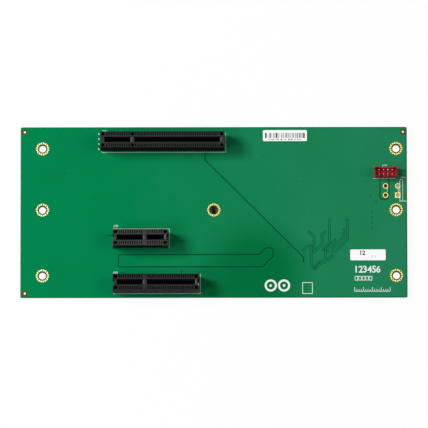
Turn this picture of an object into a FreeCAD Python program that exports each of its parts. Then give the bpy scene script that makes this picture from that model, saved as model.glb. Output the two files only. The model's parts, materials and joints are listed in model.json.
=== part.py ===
"""A passive riser card, lying flat with its component side up.

The frame's origin is the centre of the rectangle of four corner holes, on the underside of the board.
X runs along the card, Y across it and Z up through the board to the slots.
All lengths are millimetres.
"""
import FreeCAD
import Part
import os
import re
import Sketcher
from FreeCAD import Rotation, Vector

SIZES = {
    # The board and its mounting holes
    "hole_pitch_x": 160.0,
    "hole_pitch_y": 58.0,
    "hole_diameter": 3.2,
    "left_margin": 10.0,
    "right_margin": 5.0,
    "side_margin": 10.0,
    "board_thickness": 1.6,
    "middle_hole_rise": 1.0,
    "centre_hole_shift": 2.5,
    # The gold pads on the board
    "copper_thickness": 0.06,
    "pad_gap": 0.57,
    "lobe_count": 8,
    "lobe_length": 2.0,
    "lobe_width": 0.85,
    # Where the three slots stand
    "long_slot_from_holes": 26.3,
    "long_slot_above_holes": 2.65,
    "medium_slot_from_holes": 31.9,
    "medium_slot_below_holes": 4.17,
    "short_slot_from_holes": 31.9,
    "slot_row_pitch": 20.32,
    # The contact layout that all three slots share
    "contact_pitch": 1.0,
    "contacts_before_key": 11,
    "key_gap": 3.0,
    "end_margin": 3.0,
    "long_slot_positions": 49,
    "medium_slot_positions": 32,
    "short_slot_positions": 18,
    # The moulded housing of a slot
    "housing_width": 7.4,
    "housing_height": 11.25,
    "slot_width": 1.8,
    "slot_depth": 7.9,
    "slot_end_wall": 1.85,
    "key_width": 1.75,
    "mouth_depth": 0.7,
    "mouth_bevel": 0.35,
    "end_bevel": 0.7,
    "window_length": 0.58,
    "window_width": 1.3,
    "window_offset": 2.5,
    "window_depth": 0.9,
    "end_pocket_length": 1.6,
    "end_pocket_inset": 0.5,
    "key_pocket_length": 1.4,
    "pocket_depth": 2.0,
    "end_notch_width": 3.0,
    "end_notch_depth": 0.6,
    "side_recess_depth": 0.4,
    "side_recess_drop": 1.4,
    "end_block_length": 2.0,
    "foot_length": 0.8,
    "foot_height": 0.9,
    "foot_count": 3,
    "side_notch_length": 0.9,
    "side_notch_height": 8.0,
    "side_notch_count": 5,
    "foot_pitch": 6.0,
    "peg_diameter": 2.2,
    "peg_reach": 1.8,
    "peg_sides": 6,
    "peg_from_end": 1.35,
    "peg_clearance": 0.1,
    # A spring contact and its soldered tail
    "contact_width": 0.5,
    "contact_foot": 0.35,
    "contact_lean": 0.45,
    "contact_height": 6.6,
    "tail_row_offset": 1.25,
    "tail_row_step": 2.0,
    "joint_width": 0.95,
    "joint_height": 1.4,
    # The box header
    "header_from_holes": 4.75,
    "header_below_holes": 11.3,
    "header_length": 10.2,
    "header_width": 4.6,
    "header_height": 6.3,
    "header_wall": 0.6,
    "header_floor": 2.0,
    "header_dip_length": 6.4,
    "header_dip_depth": 3.0,
    "header_slit_width": 0.6,
    "header_slit_spacing": 3.8,
    "header_slit_depth": 3.4,
    "header_notch_width": 0.8,
    "header_notch_depth": 3.5,
    "header_notch_shift": 0.8,
    "pin_pitch": 2.0,
    "pin_columns": 4,
    "pin_width": 0.5,
    "pin_height": 4.2,
    "pin_bevel": 0.12,
    "pin_clearance": 0.05,
    # The unfilled power footprint
    "power_from_holes": 2.0,
    "power_below_holes": 19.25,
    "power_row_gap": 5.5,
    "power_pitch": 4.2,
    "power_hole_diameter": 1.75,
    "power_pad_width": 2.4,
    "power_pad_corner": 0.7,
    # The paper labels
    "label_thickness": 0.1,
    "label_corner": 0.4,
    "barcode_label_length": 19.9,
    "barcode_label_width": 5.0,
    "barcode_label_shift": 29.75,
    "barcode_label_below_edge": 4.05,
    "blank_label_length": 16.0,
    "blank_label_width": 4.95,
    "blank_label_from_holes": 12.84,
    "blank_label_above_holes": 9.38,
}

ALIAS = re.compile(r"[a-z][a-z_]+")
NEAR = 1e-6

doc = FreeCAD.newDocument("riser_card")
sheet = doc.addObject("Spreadsheet::Sheet", "Sizes")
for row, (alias, number) in enumerate(SIZES.items(), start=1):
    sheet.set(f"A{row}", alias)
    sheet.set(f"B{row}", str(number))
    sheet.setAlias(f"B{row}", alias)
doc.recompute()

subparts = []


# Helpers

def size(alias):
    """The number in one cell of the sheet."""
    return float(sheet.get(alias))


def formula(text):
    """An expression on the sheet's cells, written with their bare aliases."""
    return ALIAS.sub(lambda word: f"Sizes.{word.group()}", text)


def bind(item, name, text):
    """Ties a property to a formula on the sheet."""
    item.setExpression(name, formula(text))


def place(item, x, y, z):
    """Ties an object's place to formulas on the sheet."""
    for axis, text in zip("xyz", (x, y, z)):
        bind(item, f"Placement.Base.{axis}", text)


def add_subpart(item, label):
    """Names an object as one piece of the card, to be written out."""
    item.Label = label
    subparts.append(item)
    return item


def new_body(label):
    """An empty body for one piece of the card."""
    return add_subpart(doc.addObject("PartDesign::Body", label), label)


def new_sketch(body, name, level="0"):
    """A sketch parallel to the board, at a level in its body's own frame."""
    sketch = body.newObject("Sketcher::SketchObject", name)
    plane = next(item for item in body.Origin.OriginFeatures if item.Role == "XY_Plane")
    sketch.AttachmentSupport = [(plane, "")]
    sketch.MapMode = "FlatFace"
    bind(sketch, "AttachmentOffset.Base.z", level)
    return sketch


def constrain(sketch, kind, where, text):
    """Adds one dimension to a sketch and ties it to a formula."""
    index = sketch.addConstraint(Sketcher.Constraint(kind, *where, 1.0))
    bind(sketch, f"Constraints[{index}]", text)


def add_rectangle(sketch, x, y, length, width):
    """A rectangle about the centre (x, y)."""
    first = sketch.GeometryCount
    corners = [Vector(1, 1), Vector(2, 1), Vector(2, 2), Vector(1, 2)]
    for start, end in zip(corners, corners[1:] + corners[:1]):
        sketch.addGeometry(Part.LineSegment(start, end), False)
    sides = range(first, first + 4)
    for side in sides:
        sketch.addConstraint(Sketcher.Constraint("Coincident", side, 2, first + (side - first + 1) % 4, 1))
    for side, kind in zip(sides, ("Horizontal", "Vertical", "Horizontal", "Vertical")):
        sketch.addConstraint(Sketcher.Constraint(kind, side))
    constrain(sketch, "DistanceX", (-1, 1, first, 1), f"({x}) - ({length}) / 2")
    constrain(sketch, "DistanceY", (-1, 1, first, 1), f"({y}) - ({width}) / 2")
    constrain(sketch, "DistanceX", (first, 1, first, 2), length)
    constrain(sketch, "DistanceY", (first + 1, 1, first + 1, 2), width)


def add_circle(sketch, x, y, diameter):
    """A circle about the centre (x, y)."""
    index = sketch.addGeometry(Part.Circle(Vector(1, 1), Vector(0, 0, 1), 1), False)
    constrain(sketch, "DistanceX", (-1, 1, index, 3), x)
    constrain(sketch, "DistanceY", (-1, 1, index, 3), y)
    constrain(sketch, "Diameter", (index,), diameter)


def pad(body, sketch, height):
    """Raises a sketch into solid."""
    feature = body.newObject("PartDesign::Pad", f"{sketch.Name}_pad")
    feature.Profile = sketch
    bind(feature, "Length", height)
    return feature


def pocket(body, sketch, depth=None, upward=False):
    """Cuts a sketch out of the solid, right through it where no depth is given."""
    doc.recompute()
    before = body.Shape.Volume
    feature = body.newObject("PartDesign::Pocket", f"{sketch.Name}_cut")
    feature.Profile = sketch
    feature.Reversed = upward
    if depth is None:
        feature.Type = "ThroughAll"
    else:
        bind(feature, "Length", depth)
    doc.recompute()
    if body.Shape.Volume >= before:
        raise RuntimeError(f"{feature.Name} cuts nothing")
    return feature


def repeat_along(body, feature, sketch, pitch, count):
    """Repeats a feature in a row along the card."""
    pattern = body.newObject("PartDesign::LinearPattern", f"{feature.Name}_row")
    pattern.Originals = [feature]
    pattern.Direction = (sketch, ["H_Axis"])
    pattern.Mode = "Spacing"
    bind(pattern, "Offset", pitch)
    bind(pattern, "Occurrences", count)
    body.Tip = pattern


def edges_where(shape, test):
    """The names of a shape's edges whose end points all pass a test."""
    return [
        f"Edge{number}"
        for number, edge in enumerate(shape.Edges, start=1)
        if all(test(vertex.Point) for vertex in edge.Vertexes)
    ]


def square_corners(shape):
    """The names of the upright edges at the four outer corners of a plate."""
    box = shape.BoundBox
    reach = Vector(box.XMax - box.Center.x, box.YMax - box.Center.y).Length

    def at_corner(point):
        return near(Vector(point.x - box.Center.x, point.y - box.Center.y).Length, reach)

    names = edges_where(shape, at_corner)
    return [name for name in names if shape.getElement(name).BoundBox.ZLength > NEAR]


def bevel_edges(body, name, edges, amount):
    """Bevels some edges of a body as it stands."""
    base = body.Tip
    feature = body.newObject("PartDesign::Chamfer", name)
    feature.Base = (base, edges)
    bind(feature, "Size", amount)
    doc.recompute()


def near(number, target):
    """Whether two lengths are the same, give or take rounding."""
    return abs(number - target) < NEAR


def add_group(label, solids, carrier=None):
    """A piece made of separate equal solids, in the frame of the piece that carries it."""
    group = add_subpart(doc.addObject("Part::Feature", label), label)
    group.Shape = Part.makeCompound(solids)
    if carrier is not None:
        group.Placement = carrier.Placement
    return group


# Layout: formulas for where things stand in the frame

RIGHT_HOLES = "hole_pitch_x / 2"
LEFT_HOLES = "-hole_pitch_x / 2"
UPPER_HOLES = "hole_pitch_y / 2"
LOWER_HOLES = "-hole_pitch_y / 2"
RIGHT_EDGE = f"{RIGHT_HOLES} + right_margin"
LEFT_EDGE = f"{LEFT_HOLES} - left_margin"
UPPER_EDGE = f"{UPPER_HOLES} + side_margin"
LOWER_EDGE = f"{LOWER_HOLES} - side_margin"
BOARD_TOP = "board_thickness"

MOUNT_HOLES = [
    (LEFT_HOLES, UPPER_HOLES),
    (RIGHT_HOLES, UPPER_HOLES),
    (LEFT_HOLES, LOWER_HOLES),
    (RIGHT_HOLES, LOWER_HOLES),
    (LEFT_HOLES, "middle_hole_rise"),
    (RIGHT_HOLES, "middle_hole_rise"),
    ("-centre_hole_shift", "middle_hole_rise"),
]

MEDIUM_ROW = f"{LOWER_HOLES} - medium_slot_below_holes"
SLOTS = {
    "long_slot": (f"{LEFT_HOLES} + long_slot_from_holes", f"{UPPER_HOLES} + long_slot_above_holes"),
    "medium_slot": (f"{LEFT_HOLES} + medium_slot_from_holes", MEDIUM_ROW),
    "short_slot": (f"{LEFT_HOLES} + short_slot_from_holes", f"{MEDIUM_ROW} + slot_row_pitch"),
}
KEY_CENTRE = "(end_margin + (contacts_before_key - 1) * contact_pitch + key_gap / 2)"
AFTER_KEY = f"({KEY_CENTRE} + key_gap / 2)"

HEADER_X = f"{RIGHT_HOLES} - header_from_holes"
HEADER_Y = f"{UPPER_HOLES} - header_below_holes"
POWER_X = f"{RIGHT_HOLES} - power_from_holes"
POWER_Y = f"{UPPER_HOLES} - power_below_holes"
POWER_HOLES = [
    (f"{POWER_X} {across} power_row_gap / 2", f"{POWER_Y} {along} power_pitch / 2")
    for across in "-+"
    for along in "+-"
]
ROWS = ("", "-")
PIN_ROWS = ("pin_pitch / 2", "-pin_pitch / 2")
FIRST_PIN = "-(pin_columns - 1) * pin_pitch / 2"


def housing_length(slot):
    """A slot's length follows from its contacts, its key and its two ends."""
    return f"(2 * end_margin + ({slot}_positions - 2) * contact_pitch + key_gap)"


def peg_places(slot):
    """A slot's two locating pegs stand under its key and near its far end."""
    return KEY_CENTRE, f"({housing_length(slot)} - peg_from_end)"


# The circuit board

def make_board():
    body = new_body("circuit_board")
    outline = new_sketch(body, "board_outline")
    length = "hole_pitch_x + left_margin + right_margin"
    width = "hole_pitch_y + 2 * side_margin"
    add_rectangle(outline, "(right_margin - left_margin) / 2", "0", length, width)
    pad(body, outline, "board_thickness")
    mounts = new_sketch(body, "mounting_holes", BOARD_TOP)
    for x, y in MOUNT_HOLES:
        add_circle(mounts, x, y, "hole_diameter")
    pocket(body, mounts)
    pegs = new_sketch(body, "peg_holes", BOARD_TOP)
    for slot, (left, y) in SLOTS.items():
        for along in peg_places(slot):
            add_circle(pegs, f"{left} + {along}", y, "peg_diameter + 2 * peg_clearance")
    pocket(body, pegs)
    power = new_sketch(body, "power_holes", BOARD_TOP)
    for x, y in POWER_HOLES:
        add_circle(power, x, y, "power_hole_diameter")
    pocket(body, power)


# Gold pads round the mounting holes

def make_mounting_pads():
    """A ring of flat lobes round each hole, which meet in narrow necks."""
    length = size("lobe_length")
    width = size("lobe_width")
    inner = size("hole_diameter") / 2 + size("pad_gap")
    lobe = Part.makeBox(width, length, size("copper_thickness"), Vector(inner, -length / 2, 0))
    count = int(size("lobe_count"))
    lobes = [lobe.rotated(Vector(), Vector(0, 0, 1), 360 * number / count) for number in range(count)]
    ring = lobes[0].multiFuse(lobes[1:]).removeSplitter()
    half_x = size("hole_pitch_x") / 2
    half_y = size("hole_pitch_y") / 2
    rise = size("middle_hole_rise")
    places = [(x, y) for x in (-half_x, half_x) for y in (half_y, rise, -half_y)]
    places.append((-size("centre_hole_shift"), rise))
    top = size("board_thickness")
    add_group("mounting_pads", [ring.translated(Vector(x, y, top)) for x, y in places])


# Slot connectors, each in a frame of its own: X from its left end, Y from its centre line, Z from the board

def cut_card_slot(body, slot):
    """The slot for the card's edge, split by the key, each stretch with a bevelled mouth."""
    end = f"({housing_length(slot)} - slot_end_wall)"
    key_left = f"({KEY_CENTRE} - key_width / 2)"
    key_right = f"({KEY_CENTRE} + key_width / 2)"
    stretches = {"before_key": ("slot_end_wall", key_left), "after_key": (key_right, end)}
    for name, (start, stop) in stretches.items():
        centre = f"({start} + {stop}) / 2"
        run = f"({stop} - {start})"
        throat = new_sketch(body, f"{slot}_throat_{name}", "housing_height")
        add_rectangle(throat, centre, "0", run, "slot_width")
        pocket(body, throat, "slot_depth")
        bevel = body.newObject("PartDesign::SubtractiveWedge", f"{slot}_mouth_{name}")
        bevel.Placement.Rotation = Rotation(Vector(1, 0, 0), 90)
        edges = {
            "Xmin": start,
            "Xmax": stop,
            "X2min": f"{start} - end_bevel",
            "X2max": f"{stop} + end_bevel",
            "Ymin": "housing_height - mouth_depth",
            "Ymax": "housing_height",
            "Zmin": "-slot_width / 2",
            "Zmax": "slot_width / 2",
            "Z2min": "-slot_width / 2 - mouth_bevel",
            "Z2max": "slot_width / 2 + mouth_bevel",
        }
        for edge, text in edges.items():
            bind(bevel, edge, text)
        doc.recompute()


def cut_windows(body, slot):
    """Two rows of windows over the contacts, before and after the key."""
    stretches = {
        "before_key": ("end_margin", "contacts_before_key"),
        "after_key": (AFTER_KEY, f"{slot}_positions - contacts_before_key"),
    }
    for name, (first, count) in stretches.items():
        sketch = new_sketch(body, f"{slot}_windows_{name}", "housing_height")
        for row in ROWS:
            add_rectangle(sketch, first, f"{row}window_offset", "window_length", "window_width")
        repeat_along(body, pocket(body, sketch, "window_depth"), sketch, "contact_pitch", count)


def cut_pockets(body, slot, places, length):
    """Deeper pockets in the top, in line with the windows."""
    sketch = new_sketch(body, f"{slot}_pockets", "housing_height")
    for x in places:
        for row in ROWS:
            add_rectangle(sketch, x, f"{row}window_offset", length, "window_width")
    pocket(body, sketch, "pocket_depth")


def cut_end_notches(body, slot):
    """A groove down the middle of each end wall."""
    sketch = new_sketch(body, f"{slot}_end_notches", "housing_height")
    for x in ("end_notch_depth / 2", f"{housing_length(slot)} - end_notch_depth / 2"):
        add_rectangle(sketch, x, "0", "end_notch_depth", "end_notch_width")
    pocket(body, sketch)


def add_side_rectangles(sketch, x, length):
    """One rectangle at the foot of each side wall, as deep as the wall's recess."""
    for row in ROWS:
        y = f"{row}(housing_width - side_recess_depth) / 2"
        add_rectangle(sketch, x, y, length, "side_recess_depth")


def recess_sides(body, slot):
    """Side walls set back between the end blocks, with small feet along the board."""
    length = housing_length(slot)
    recess = new_sketch(body, f"{slot}_side_recess")
    add_side_rectangles(recess, f"{length} / 2", f"{length} - 2 * end_block_length")
    pocket(body, recess, "housing_height - side_recess_drop", upward=True)
    feet = new_sketch(body, f"{slot}_feet")
    add_side_rectangles(feet, f"{length} / 2 - (foot_count - 1) * foot_pitch / 2", "foot_length")
    repeat_along(body, pad(body, feet, "foot_height"), feet, "foot_pitch", "foot_count")


def notch_sides(body, slot):
    """A row of notches along the foot of each side wall."""
    sketch = new_sketch(body, f"{slot}_side_notches")
    first = f"{housing_length(slot)} / 2 - (side_notch_count - 1) * foot_pitch / 2"
    add_side_rectangles(sketch, first, "side_notch_length")
    cut = pocket(body, sketch, "side_notch_height", upward=True)
    repeat_along(body, cut, sketch, "foot_pitch", "side_notch_count")


def add_pegs(body, slot):
    """Two six-sided locating pegs, which pass through the board and carry the card when it lies flat."""
    for number, x in enumerate(peg_places(slot), start=1):
        peg = body.newObject("PartDesign::AdditivePrism", f"{slot}_peg_{number}")
        bind(peg, "Polygon", "peg_sides")
        bind(peg, "Circumradius", "peg_diameter / 2")
        bind(peg, "Height", "board_thickness + peg_reach")
        place(peg, x, "0", "-board_thickness - peg_reach")
    doc.recompute()


def make_housing(slot):
    body = new_body(f"{slot}_housing")
    length = housing_length(slot)
    outline = new_sketch(body, f"{slot}_outline")
    add_rectangle(outline, f"{length} / 2", "0", length, "housing_width")
    pad(body, outline, "housing_height")
    cut_card_slot(body, slot)
    ends = ("end_pocket_inset + {0} / 2", length + " - end_pocket_inset - {0} / 2")
    if slot == "long_slot":
        places = [end.format("key_pocket_length") for end in ends] + [KEY_CENTRE]
        cut_pockets(body, slot, places, "key_pocket_length")
    else:
        cut_pockets(body, slot, [end.format("end_pocket_length") for end in ends], "end_pocket_length")
        cut_end_notches(body, slot)
    if slot == "short_slot":
        recess_sides(body, slot)
    if slot == "medium_slot":
        notch_sides(body, slot)
    add_pegs(body, slot)
    cut_windows(body, slot)
    left, row = SLOTS[slot]
    place(body, left, row, BOARD_TOP)
    doc.recompute()
    return body


def contact_places(slot):
    """How far along its housing each contact of a slot stands."""
    pitch = size("contact_pitch")
    before = int(size("contacts_before_key"))
    step_over_key = size("key_gap") - pitch
    return [
        size("end_margin") + number * pitch + (step_over_key if number >= before else 0)
        for number in range(int(size(f"{slot}_positions")))
    ]


def make_contacts(slot, housing):
    """A tapered leaf spring for each contact, standing on the slot's floor and leaning into the slot."""
    floor = size("housing_height") - size("slot_depth")
    wall = size("slot_width") / 2
    profile = [
        (wall, floor),
        (wall - size("contact_foot"), floor),
        (wall - size("contact_lean"), floor + size("contact_height")),
    ]
    for label, side in (("upper", 1), ("lower", -1)):
        points = [Vector(0, side * y, z) for y, z in profile]
        face = Part.Face(Part.makePolygon(points + points[:1]))
        width = size("contact_width")
        spring = face.extrude(Vector(width, 0, 0))
        springs = [spring.translated(Vector(x - width / 2, 0, 0)) for x in contact_places(slot)]
        add_group(f"{slot}_contacts_{label}", springs, housing)


def solder_cone():
    """A four-sided cone of solder that hangs from its base and ends at the tip of a tail."""
    half = size("joint_width") / 2
    base = [Vector(x, y, 0) for x, y in ((half, half), (-half, half), (-half, -half), (half, -half))]
    tip = Vector(0, 0, -size("joint_height"))
    faces = [Part.Face(Part.makePolygon(base + base[:1]))]
    for start, end in zip(base, base[1:] + base[:1]):
        faces.append(Part.Face(Part.makePolygon([start, tip, end, start])))
    return Part.Solid(Part.Shell(faces))


def make_solder_joints(slot, housing):
    """The soldered tails, in two staggered rows on each side of the slot."""
    joint = solder_cone()
    joints = []
    for number, x in enumerate(contact_places(slot)):
        offset = size("tail_row_offset") + size("tail_row_step") * (number % 2)
        for y in (offset, -offset):
            joints.append(joint.translated(Vector(x, y, -size("board_thickness"))))
    add_group(f"{slot}_solder_joints", joints, housing)


# The box header and its pins, in a frame at its centre on the board

def make_header_housing():
    body = new_body("header_housing")
    outline = new_sketch(body, "header_outline")
    add_rectangle(outline, "0", "0", "header_length", "header_width")
    pad(body, outline, "header_height")
    cavity = new_sketch(body, "header_cavity", "header_height")
    add_rectangle(cavity, "0", "0", "header_length - 2 * header_wall", "header_width - 2 * header_wall")
    pocket(body, cavity, "header_height - header_floor")
    dip = new_sketch(body, "header_dip", "header_height")
    add_rectangle(dip, "0", "(header_width - header_wall) / 2", "header_dip_length", "header_wall")
    pocket(body, dip, "header_dip_depth")
    slits = new_sketch(body, "header_slits", "header_height")
    notches = new_sketch(body, "header_end_notches", "header_height")
    for side in ROWS:
        wall = "-(header_width - header_wall) / 2"
        add_rectangle(slits, f"{side}header_slit_spacing / 2", wall, "header_slit_width", "header_wall")
        end = f"{side}(header_length - header_wall) / 2"
        add_rectangle(notches, end, "header_notch_shift", "header_wall", "header_notch_width")
    pocket(body, slits, "header_slit_depth")
    pocket(body, notches, "header_notch_depth")
    holes = new_sketch(body, "header_pin_holes", "header_floor")
    for row in PIN_ROWS:
        width = "pin_width + 2 * pin_clearance"
        add_rectangle(holes, FIRST_PIN, row, width, width)
    repeat_along(body, pocket(body, holes, "header_floor"), holes, "pin_pitch", "pin_columns")
    place(body, HEADER_X, HEADER_Y, BOARD_TOP)
    doc.recompute()
    return body


def make_header_pins():
    """Square pins that stand on the board, pass up through the header's floor and have bevelled tips."""
    number = 0
    for row in PIN_ROWS:
        for column in range(int(size("pin_columns"))):
            number += 1
            body = new_body(f"header_pin_{number}")
            section = new_sketch(body, f"pin_section_{number}")
            add_rectangle(section, "0", "0", "pin_width", "pin_width")
            pad(body, section, "pin_height")
            doc.recompute()
            top = size("pin_height")
            tip = edges_where(body.Shape, lambda point: near(point.z, top))
            bevel_edges(body, f"pin_tip_{number}", tip, "pin_bevel")
            place(body, f"{HEADER_X} + {FIRST_PIN} + {column} * pin_pitch", f"{HEADER_Y} + {row}", BOARD_TOP)


def make_header_joints(housing):
    """The soldered tail of each pin, under the board."""
    joint = solder_cone()
    pitch = size("pin_pitch")
    columns = int(size("pin_columns"))
    start = -(columns - 1) * pitch / 2
    level = -size("board_thickness")
    places = [
        Vector(start + column * pitch, y, level) for y in (pitch / 2, -pitch / 2) for column in range(columns)
    ]
    add_group("header_solder_joints", [joint.translated(point) for point in places], housing)


# The pads of the power footprint

def make_power_pads():
    """A gold pad round each power hole, eight-sided but for the last, which is square."""
    last = len(POWER_HOLES)
    for number, (x, y) in enumerate(POWER_HOLES, start=1):
        body = new_body(f"power_pad_{number}")
        ring = new_sketch(body, f"power_ring_{number}")
        add_circle(ring, "0", "0", "power_hole_diameter")
        add_rectangle(ring, "0", "0", "power_pad_width", "power_pad_width")
        pad(body, ring, "copper_thickness")
        doc.recompute()
        if number < last:
            corners = square_corners(body.Shape)
            bevel_edges(body, f"power_pad_corners_{number}", corners, "power_pad_corner")
        place(body, x, y, BOARD_TOP)


# The paper labels

def make_label(label, x, y):
    body = new_body(label)
    outline = new_sketch(body, f"{label}_outline")
    add_rectangle(outline, "0", "0", f"{label}_length", f"{label}_width")
    pad(body, outline, "label_thickness")
    doc.recompute()
    bevel_edges(body, f"{label}_corners", square_corners(body.Shape), "label_corner")
    place(body, x, y, BOARD_TOP)


make_board()
make_mounting_pads()
for slot in SLOTS:
    housing = make_housing(slot)
    make_contacts(slot, housing)
    make_solder_joints(slot, housing)
header = make_header_housing()
make_header_pins()
make_header_joints(header)
make_power_pads()
make_label("barcode_label", "barcode_label_shift", f"{UPPER_EDGE} - barcode_label_below_edge")
make_label(
    "blank_label", f"{RIGHT_HOLES} - blank_label_from_holes", f"{LOWER_HOLES} + blank_label_above_holes"
)
doc.recompute()

# Every object is checked before anything is written

for item in doc.Objects:
    if "Invalid" in item.State or "Error" in item.State:
        raise RuntimeError(f"{item.Label} failed: {item.getStatusString()}")
for item in subparts:
    if item.Shape.isNull() or not item.Shape.isValid():
        raise RuntimeError(f"{item.Label} has no valid shape")

os.makedirs("parts", exist_ok=True)
for item in subparts:
    item.Shape.exportStep(f"parts/{item.Label}.step")
    print(f"{item.Label}: {len(item.Shape.Solids)} solids, {item.Shape.Volume:.3f} mm3")
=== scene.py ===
# %% [markdown]
# # Dressing a riser card
# A riser card is a flat circuit board that carries a few tall sockets for plug-in cards. The solids of
# this card are already made, at their true size, and they come in as a fixed frame. This lesson gives
# every surface its finish and adds what is too fine for the solids: copper under the green mask,
# printed white lines, bent contact springs, solder and labels. Everything is in metres and stands in
# the frame of the solids, so nothing has to be fitted by eye.

# %% Load the frame
import json
import math
import random

import bmesh
import bpy
from mathutils import Matrix, Vector


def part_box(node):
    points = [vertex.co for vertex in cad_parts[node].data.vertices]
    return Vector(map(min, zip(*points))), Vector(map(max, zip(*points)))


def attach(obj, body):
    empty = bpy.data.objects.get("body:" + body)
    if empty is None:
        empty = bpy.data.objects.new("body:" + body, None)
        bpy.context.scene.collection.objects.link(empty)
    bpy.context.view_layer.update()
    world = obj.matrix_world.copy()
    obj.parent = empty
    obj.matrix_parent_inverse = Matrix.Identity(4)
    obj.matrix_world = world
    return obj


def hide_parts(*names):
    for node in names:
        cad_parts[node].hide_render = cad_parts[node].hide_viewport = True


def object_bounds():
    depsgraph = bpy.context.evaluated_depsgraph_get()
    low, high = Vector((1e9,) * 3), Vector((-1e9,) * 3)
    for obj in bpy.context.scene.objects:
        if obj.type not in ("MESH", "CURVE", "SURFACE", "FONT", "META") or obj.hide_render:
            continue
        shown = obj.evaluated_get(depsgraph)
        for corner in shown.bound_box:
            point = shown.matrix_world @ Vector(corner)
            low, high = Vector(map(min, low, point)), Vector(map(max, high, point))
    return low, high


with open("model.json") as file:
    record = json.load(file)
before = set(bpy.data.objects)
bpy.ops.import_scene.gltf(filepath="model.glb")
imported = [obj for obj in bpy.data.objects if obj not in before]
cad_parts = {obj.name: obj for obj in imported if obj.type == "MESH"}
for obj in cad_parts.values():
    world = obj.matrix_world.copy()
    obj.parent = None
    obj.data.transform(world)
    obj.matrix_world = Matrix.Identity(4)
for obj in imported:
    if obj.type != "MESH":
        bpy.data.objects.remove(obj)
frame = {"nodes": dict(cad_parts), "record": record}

cad_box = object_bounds()
overall = [round(side * 1000, 2) for side in cad_box[1] - cad_box[0]]
print(f"{len(frame['nodes'])} solids, {overall} mm overall")

# %% [markdown]
# ## Sizes from the frame
# A dressed piece has to sit on the solid that carries it. Its place could be typed in, but it would be
# wrong as soon as a solid changed, so it is read from the frame: the screw holes from the record's
# mounts, and the board's faces from the board's own box. Short lengths are easier to read in
# millimetres, so they are written times MM.

# %% Where things are
MM = 0.001
SCREW_MOUNTS = ("corner_holes", "middle_holes", "centre_hole")
mounts = {mount["name"]: mount for mount in frame["record"]["mounts"]}
board_low, board_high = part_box("circuit_board")
BOARD_TOP = board_high.z
BOARD_BOTTOM = board_low.z


def hole_centres(name):
    """The centres of the holes of one mount, each with its place along and across the card."""
    mount = mounts[name]
    x, y, _ = mount["pos_m"]
    half_x = mount["dims"].get("spacing_x_mm", 0.0) * MM / 2
    half_y = mount["dims"].get("spacing_y_mm", 0.0) * MM / 2
    return sorted({(x + a * half_x, y + b * half_y) for a in (-1, 1) for b in (-1, 1)})


screw_holes = [place for name in SCREW_MOUNTS for place in hole_centres(name)]
HOLE_RADIUS = mounts["centre_hole"]["dims"]["r_mm"] * MM
print(f"{len(screw_holes)} screw holes of radius {HOLE_RADIUS / MM} mm")
print(f"the board's faces are at {BOARD_BOTTOM / MM:.2f} and {BOARD_TOP / MM:.2f} mm")

# %% [markdown]
# ## Shader maths as Python
# A material is a tree of nodes, and long chains of Math nodes are hard to read, in the editor and in a
# script. This class wraps one output socket, so that `1 - mask` or `noise * 0.2 + 0.4` adds the nodes
# by itself. Any other node comes from its one method, which takes the node's type, its settings and its
# inputs.

# %% The wire class
class Wire:
    """One output in a node tree, which can be used in sums."""

    def __init__(self, tree, socket=None):
        self.tree = tree
        self.socket = socket

    def node(self, kind, settings=None, inputs=None, output=0):
        """Adds a node to the tree, sets it up, feeds its sockets and returns one of its outputs."""
        made = self.tree.nodes.new(kind)
        for name, value in (settings or {}).items():
            setattr(made, name, value)
        for key, value in (inputs or {}).items():
            if isinstance(value, Wire):
                self.tree.links.new(value.socket, made.inputs[key])
            else:
                made.inputs[key].default_value = value
        return Wire(self.tree, made.outputs[output] if made.outputs else None)

    def maths(self, operation, *values):
        """A Math node on wires and numbers."""
        return self.node("ShaderNodeMath", {"operation": operation}, dict(enumerate(values)))

    def __add__(self, other):
        return self.maths("ADD", self, other)

    def __sub__(self, other):
        return self.maths("SUBTRACT", self, other)

    def __rsub__(self, other):
        return self.maths("SUBTRACT", other, self)

    def __mul__(self, other):
        return self.maths("MULTIPLY", self, other)

    def __gt__(self, other):
        return self.maths("GREATER_THAN", self, other)

    def __lt__(self, other):
        return self.maths("LESS_THAN", self, other)

    def __abs__(self):
        return self.maths("ABSOLUTE", self)

    __radd__ = __add__
    __rmul__ = __mul__


print("a wire can do:", [name.strip("_") for name in vars(Wire) if callable(vars(Wire)[name])])

# %% [markdown]
# ## Words for finishes
# Every finish here is a colour that varies a little, a roughness and some fine relief. Pictures of real
# surfaces could give these, but they blur from close by and bring their own light. So all of it is
# computed from the place on the piece, and no UV map has to be unwrapped. Colours are written as they
# look on a screen, from 0 to 255, and turned into the linear values that a shader needs.

# %% Screen colours
def colour(red, green, blue):
    """A screen colour as the linear colour of a shader, by the standard curve for screens."""
    linear = [
        (value / 255 / 12.92) if value <= 10 else ((value / 255 + 0.055) / 1.055) ** 2.4
        for value in (red, green, blue)
    ]
    return (*linear, 1.0)


print("a mid grey on screen is", round(colour(128, 128, 128)[0], 3), "in a shader")

# %% Patterns and the shader
def begin(name):
    """An empty material, a wire to add its nodes with, and the place on the piece that patterns follow."""
    material = bpy.data.materials.new(name)
    material.use_nodes = True
    material.node_tree.nodes.clear()
    tree = Wire(material.node_tree)
    return material, tree, tree.node("ShaderNodeTexCoord", output="Object")


def axis_of(vector, axis):
    """One axis of a place or a direction."""
    return vector.node("ShaderNodeSeparateXYZ", inputs={0: vector}, output=axis)


def grain(place, grain_size, detail=2.0):
    """Cloudy noise from 0 to 1, whose spots have about the given size."""
    spots = {"Vector": place, "Scale": 1 / grain_size, "Detail": detail}
    return place.node("ShaderNodeTexNoise", inputs=spots)


def mix(share, first, second):
    """A colour that goes from the first to the second as the share goes from 0 to 1."""
    settings = {"data_type": "RGBA"}
    return share.node("ShaderNodeMix", settings, {0: share, 6: first, 7: second}, output=2)


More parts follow.
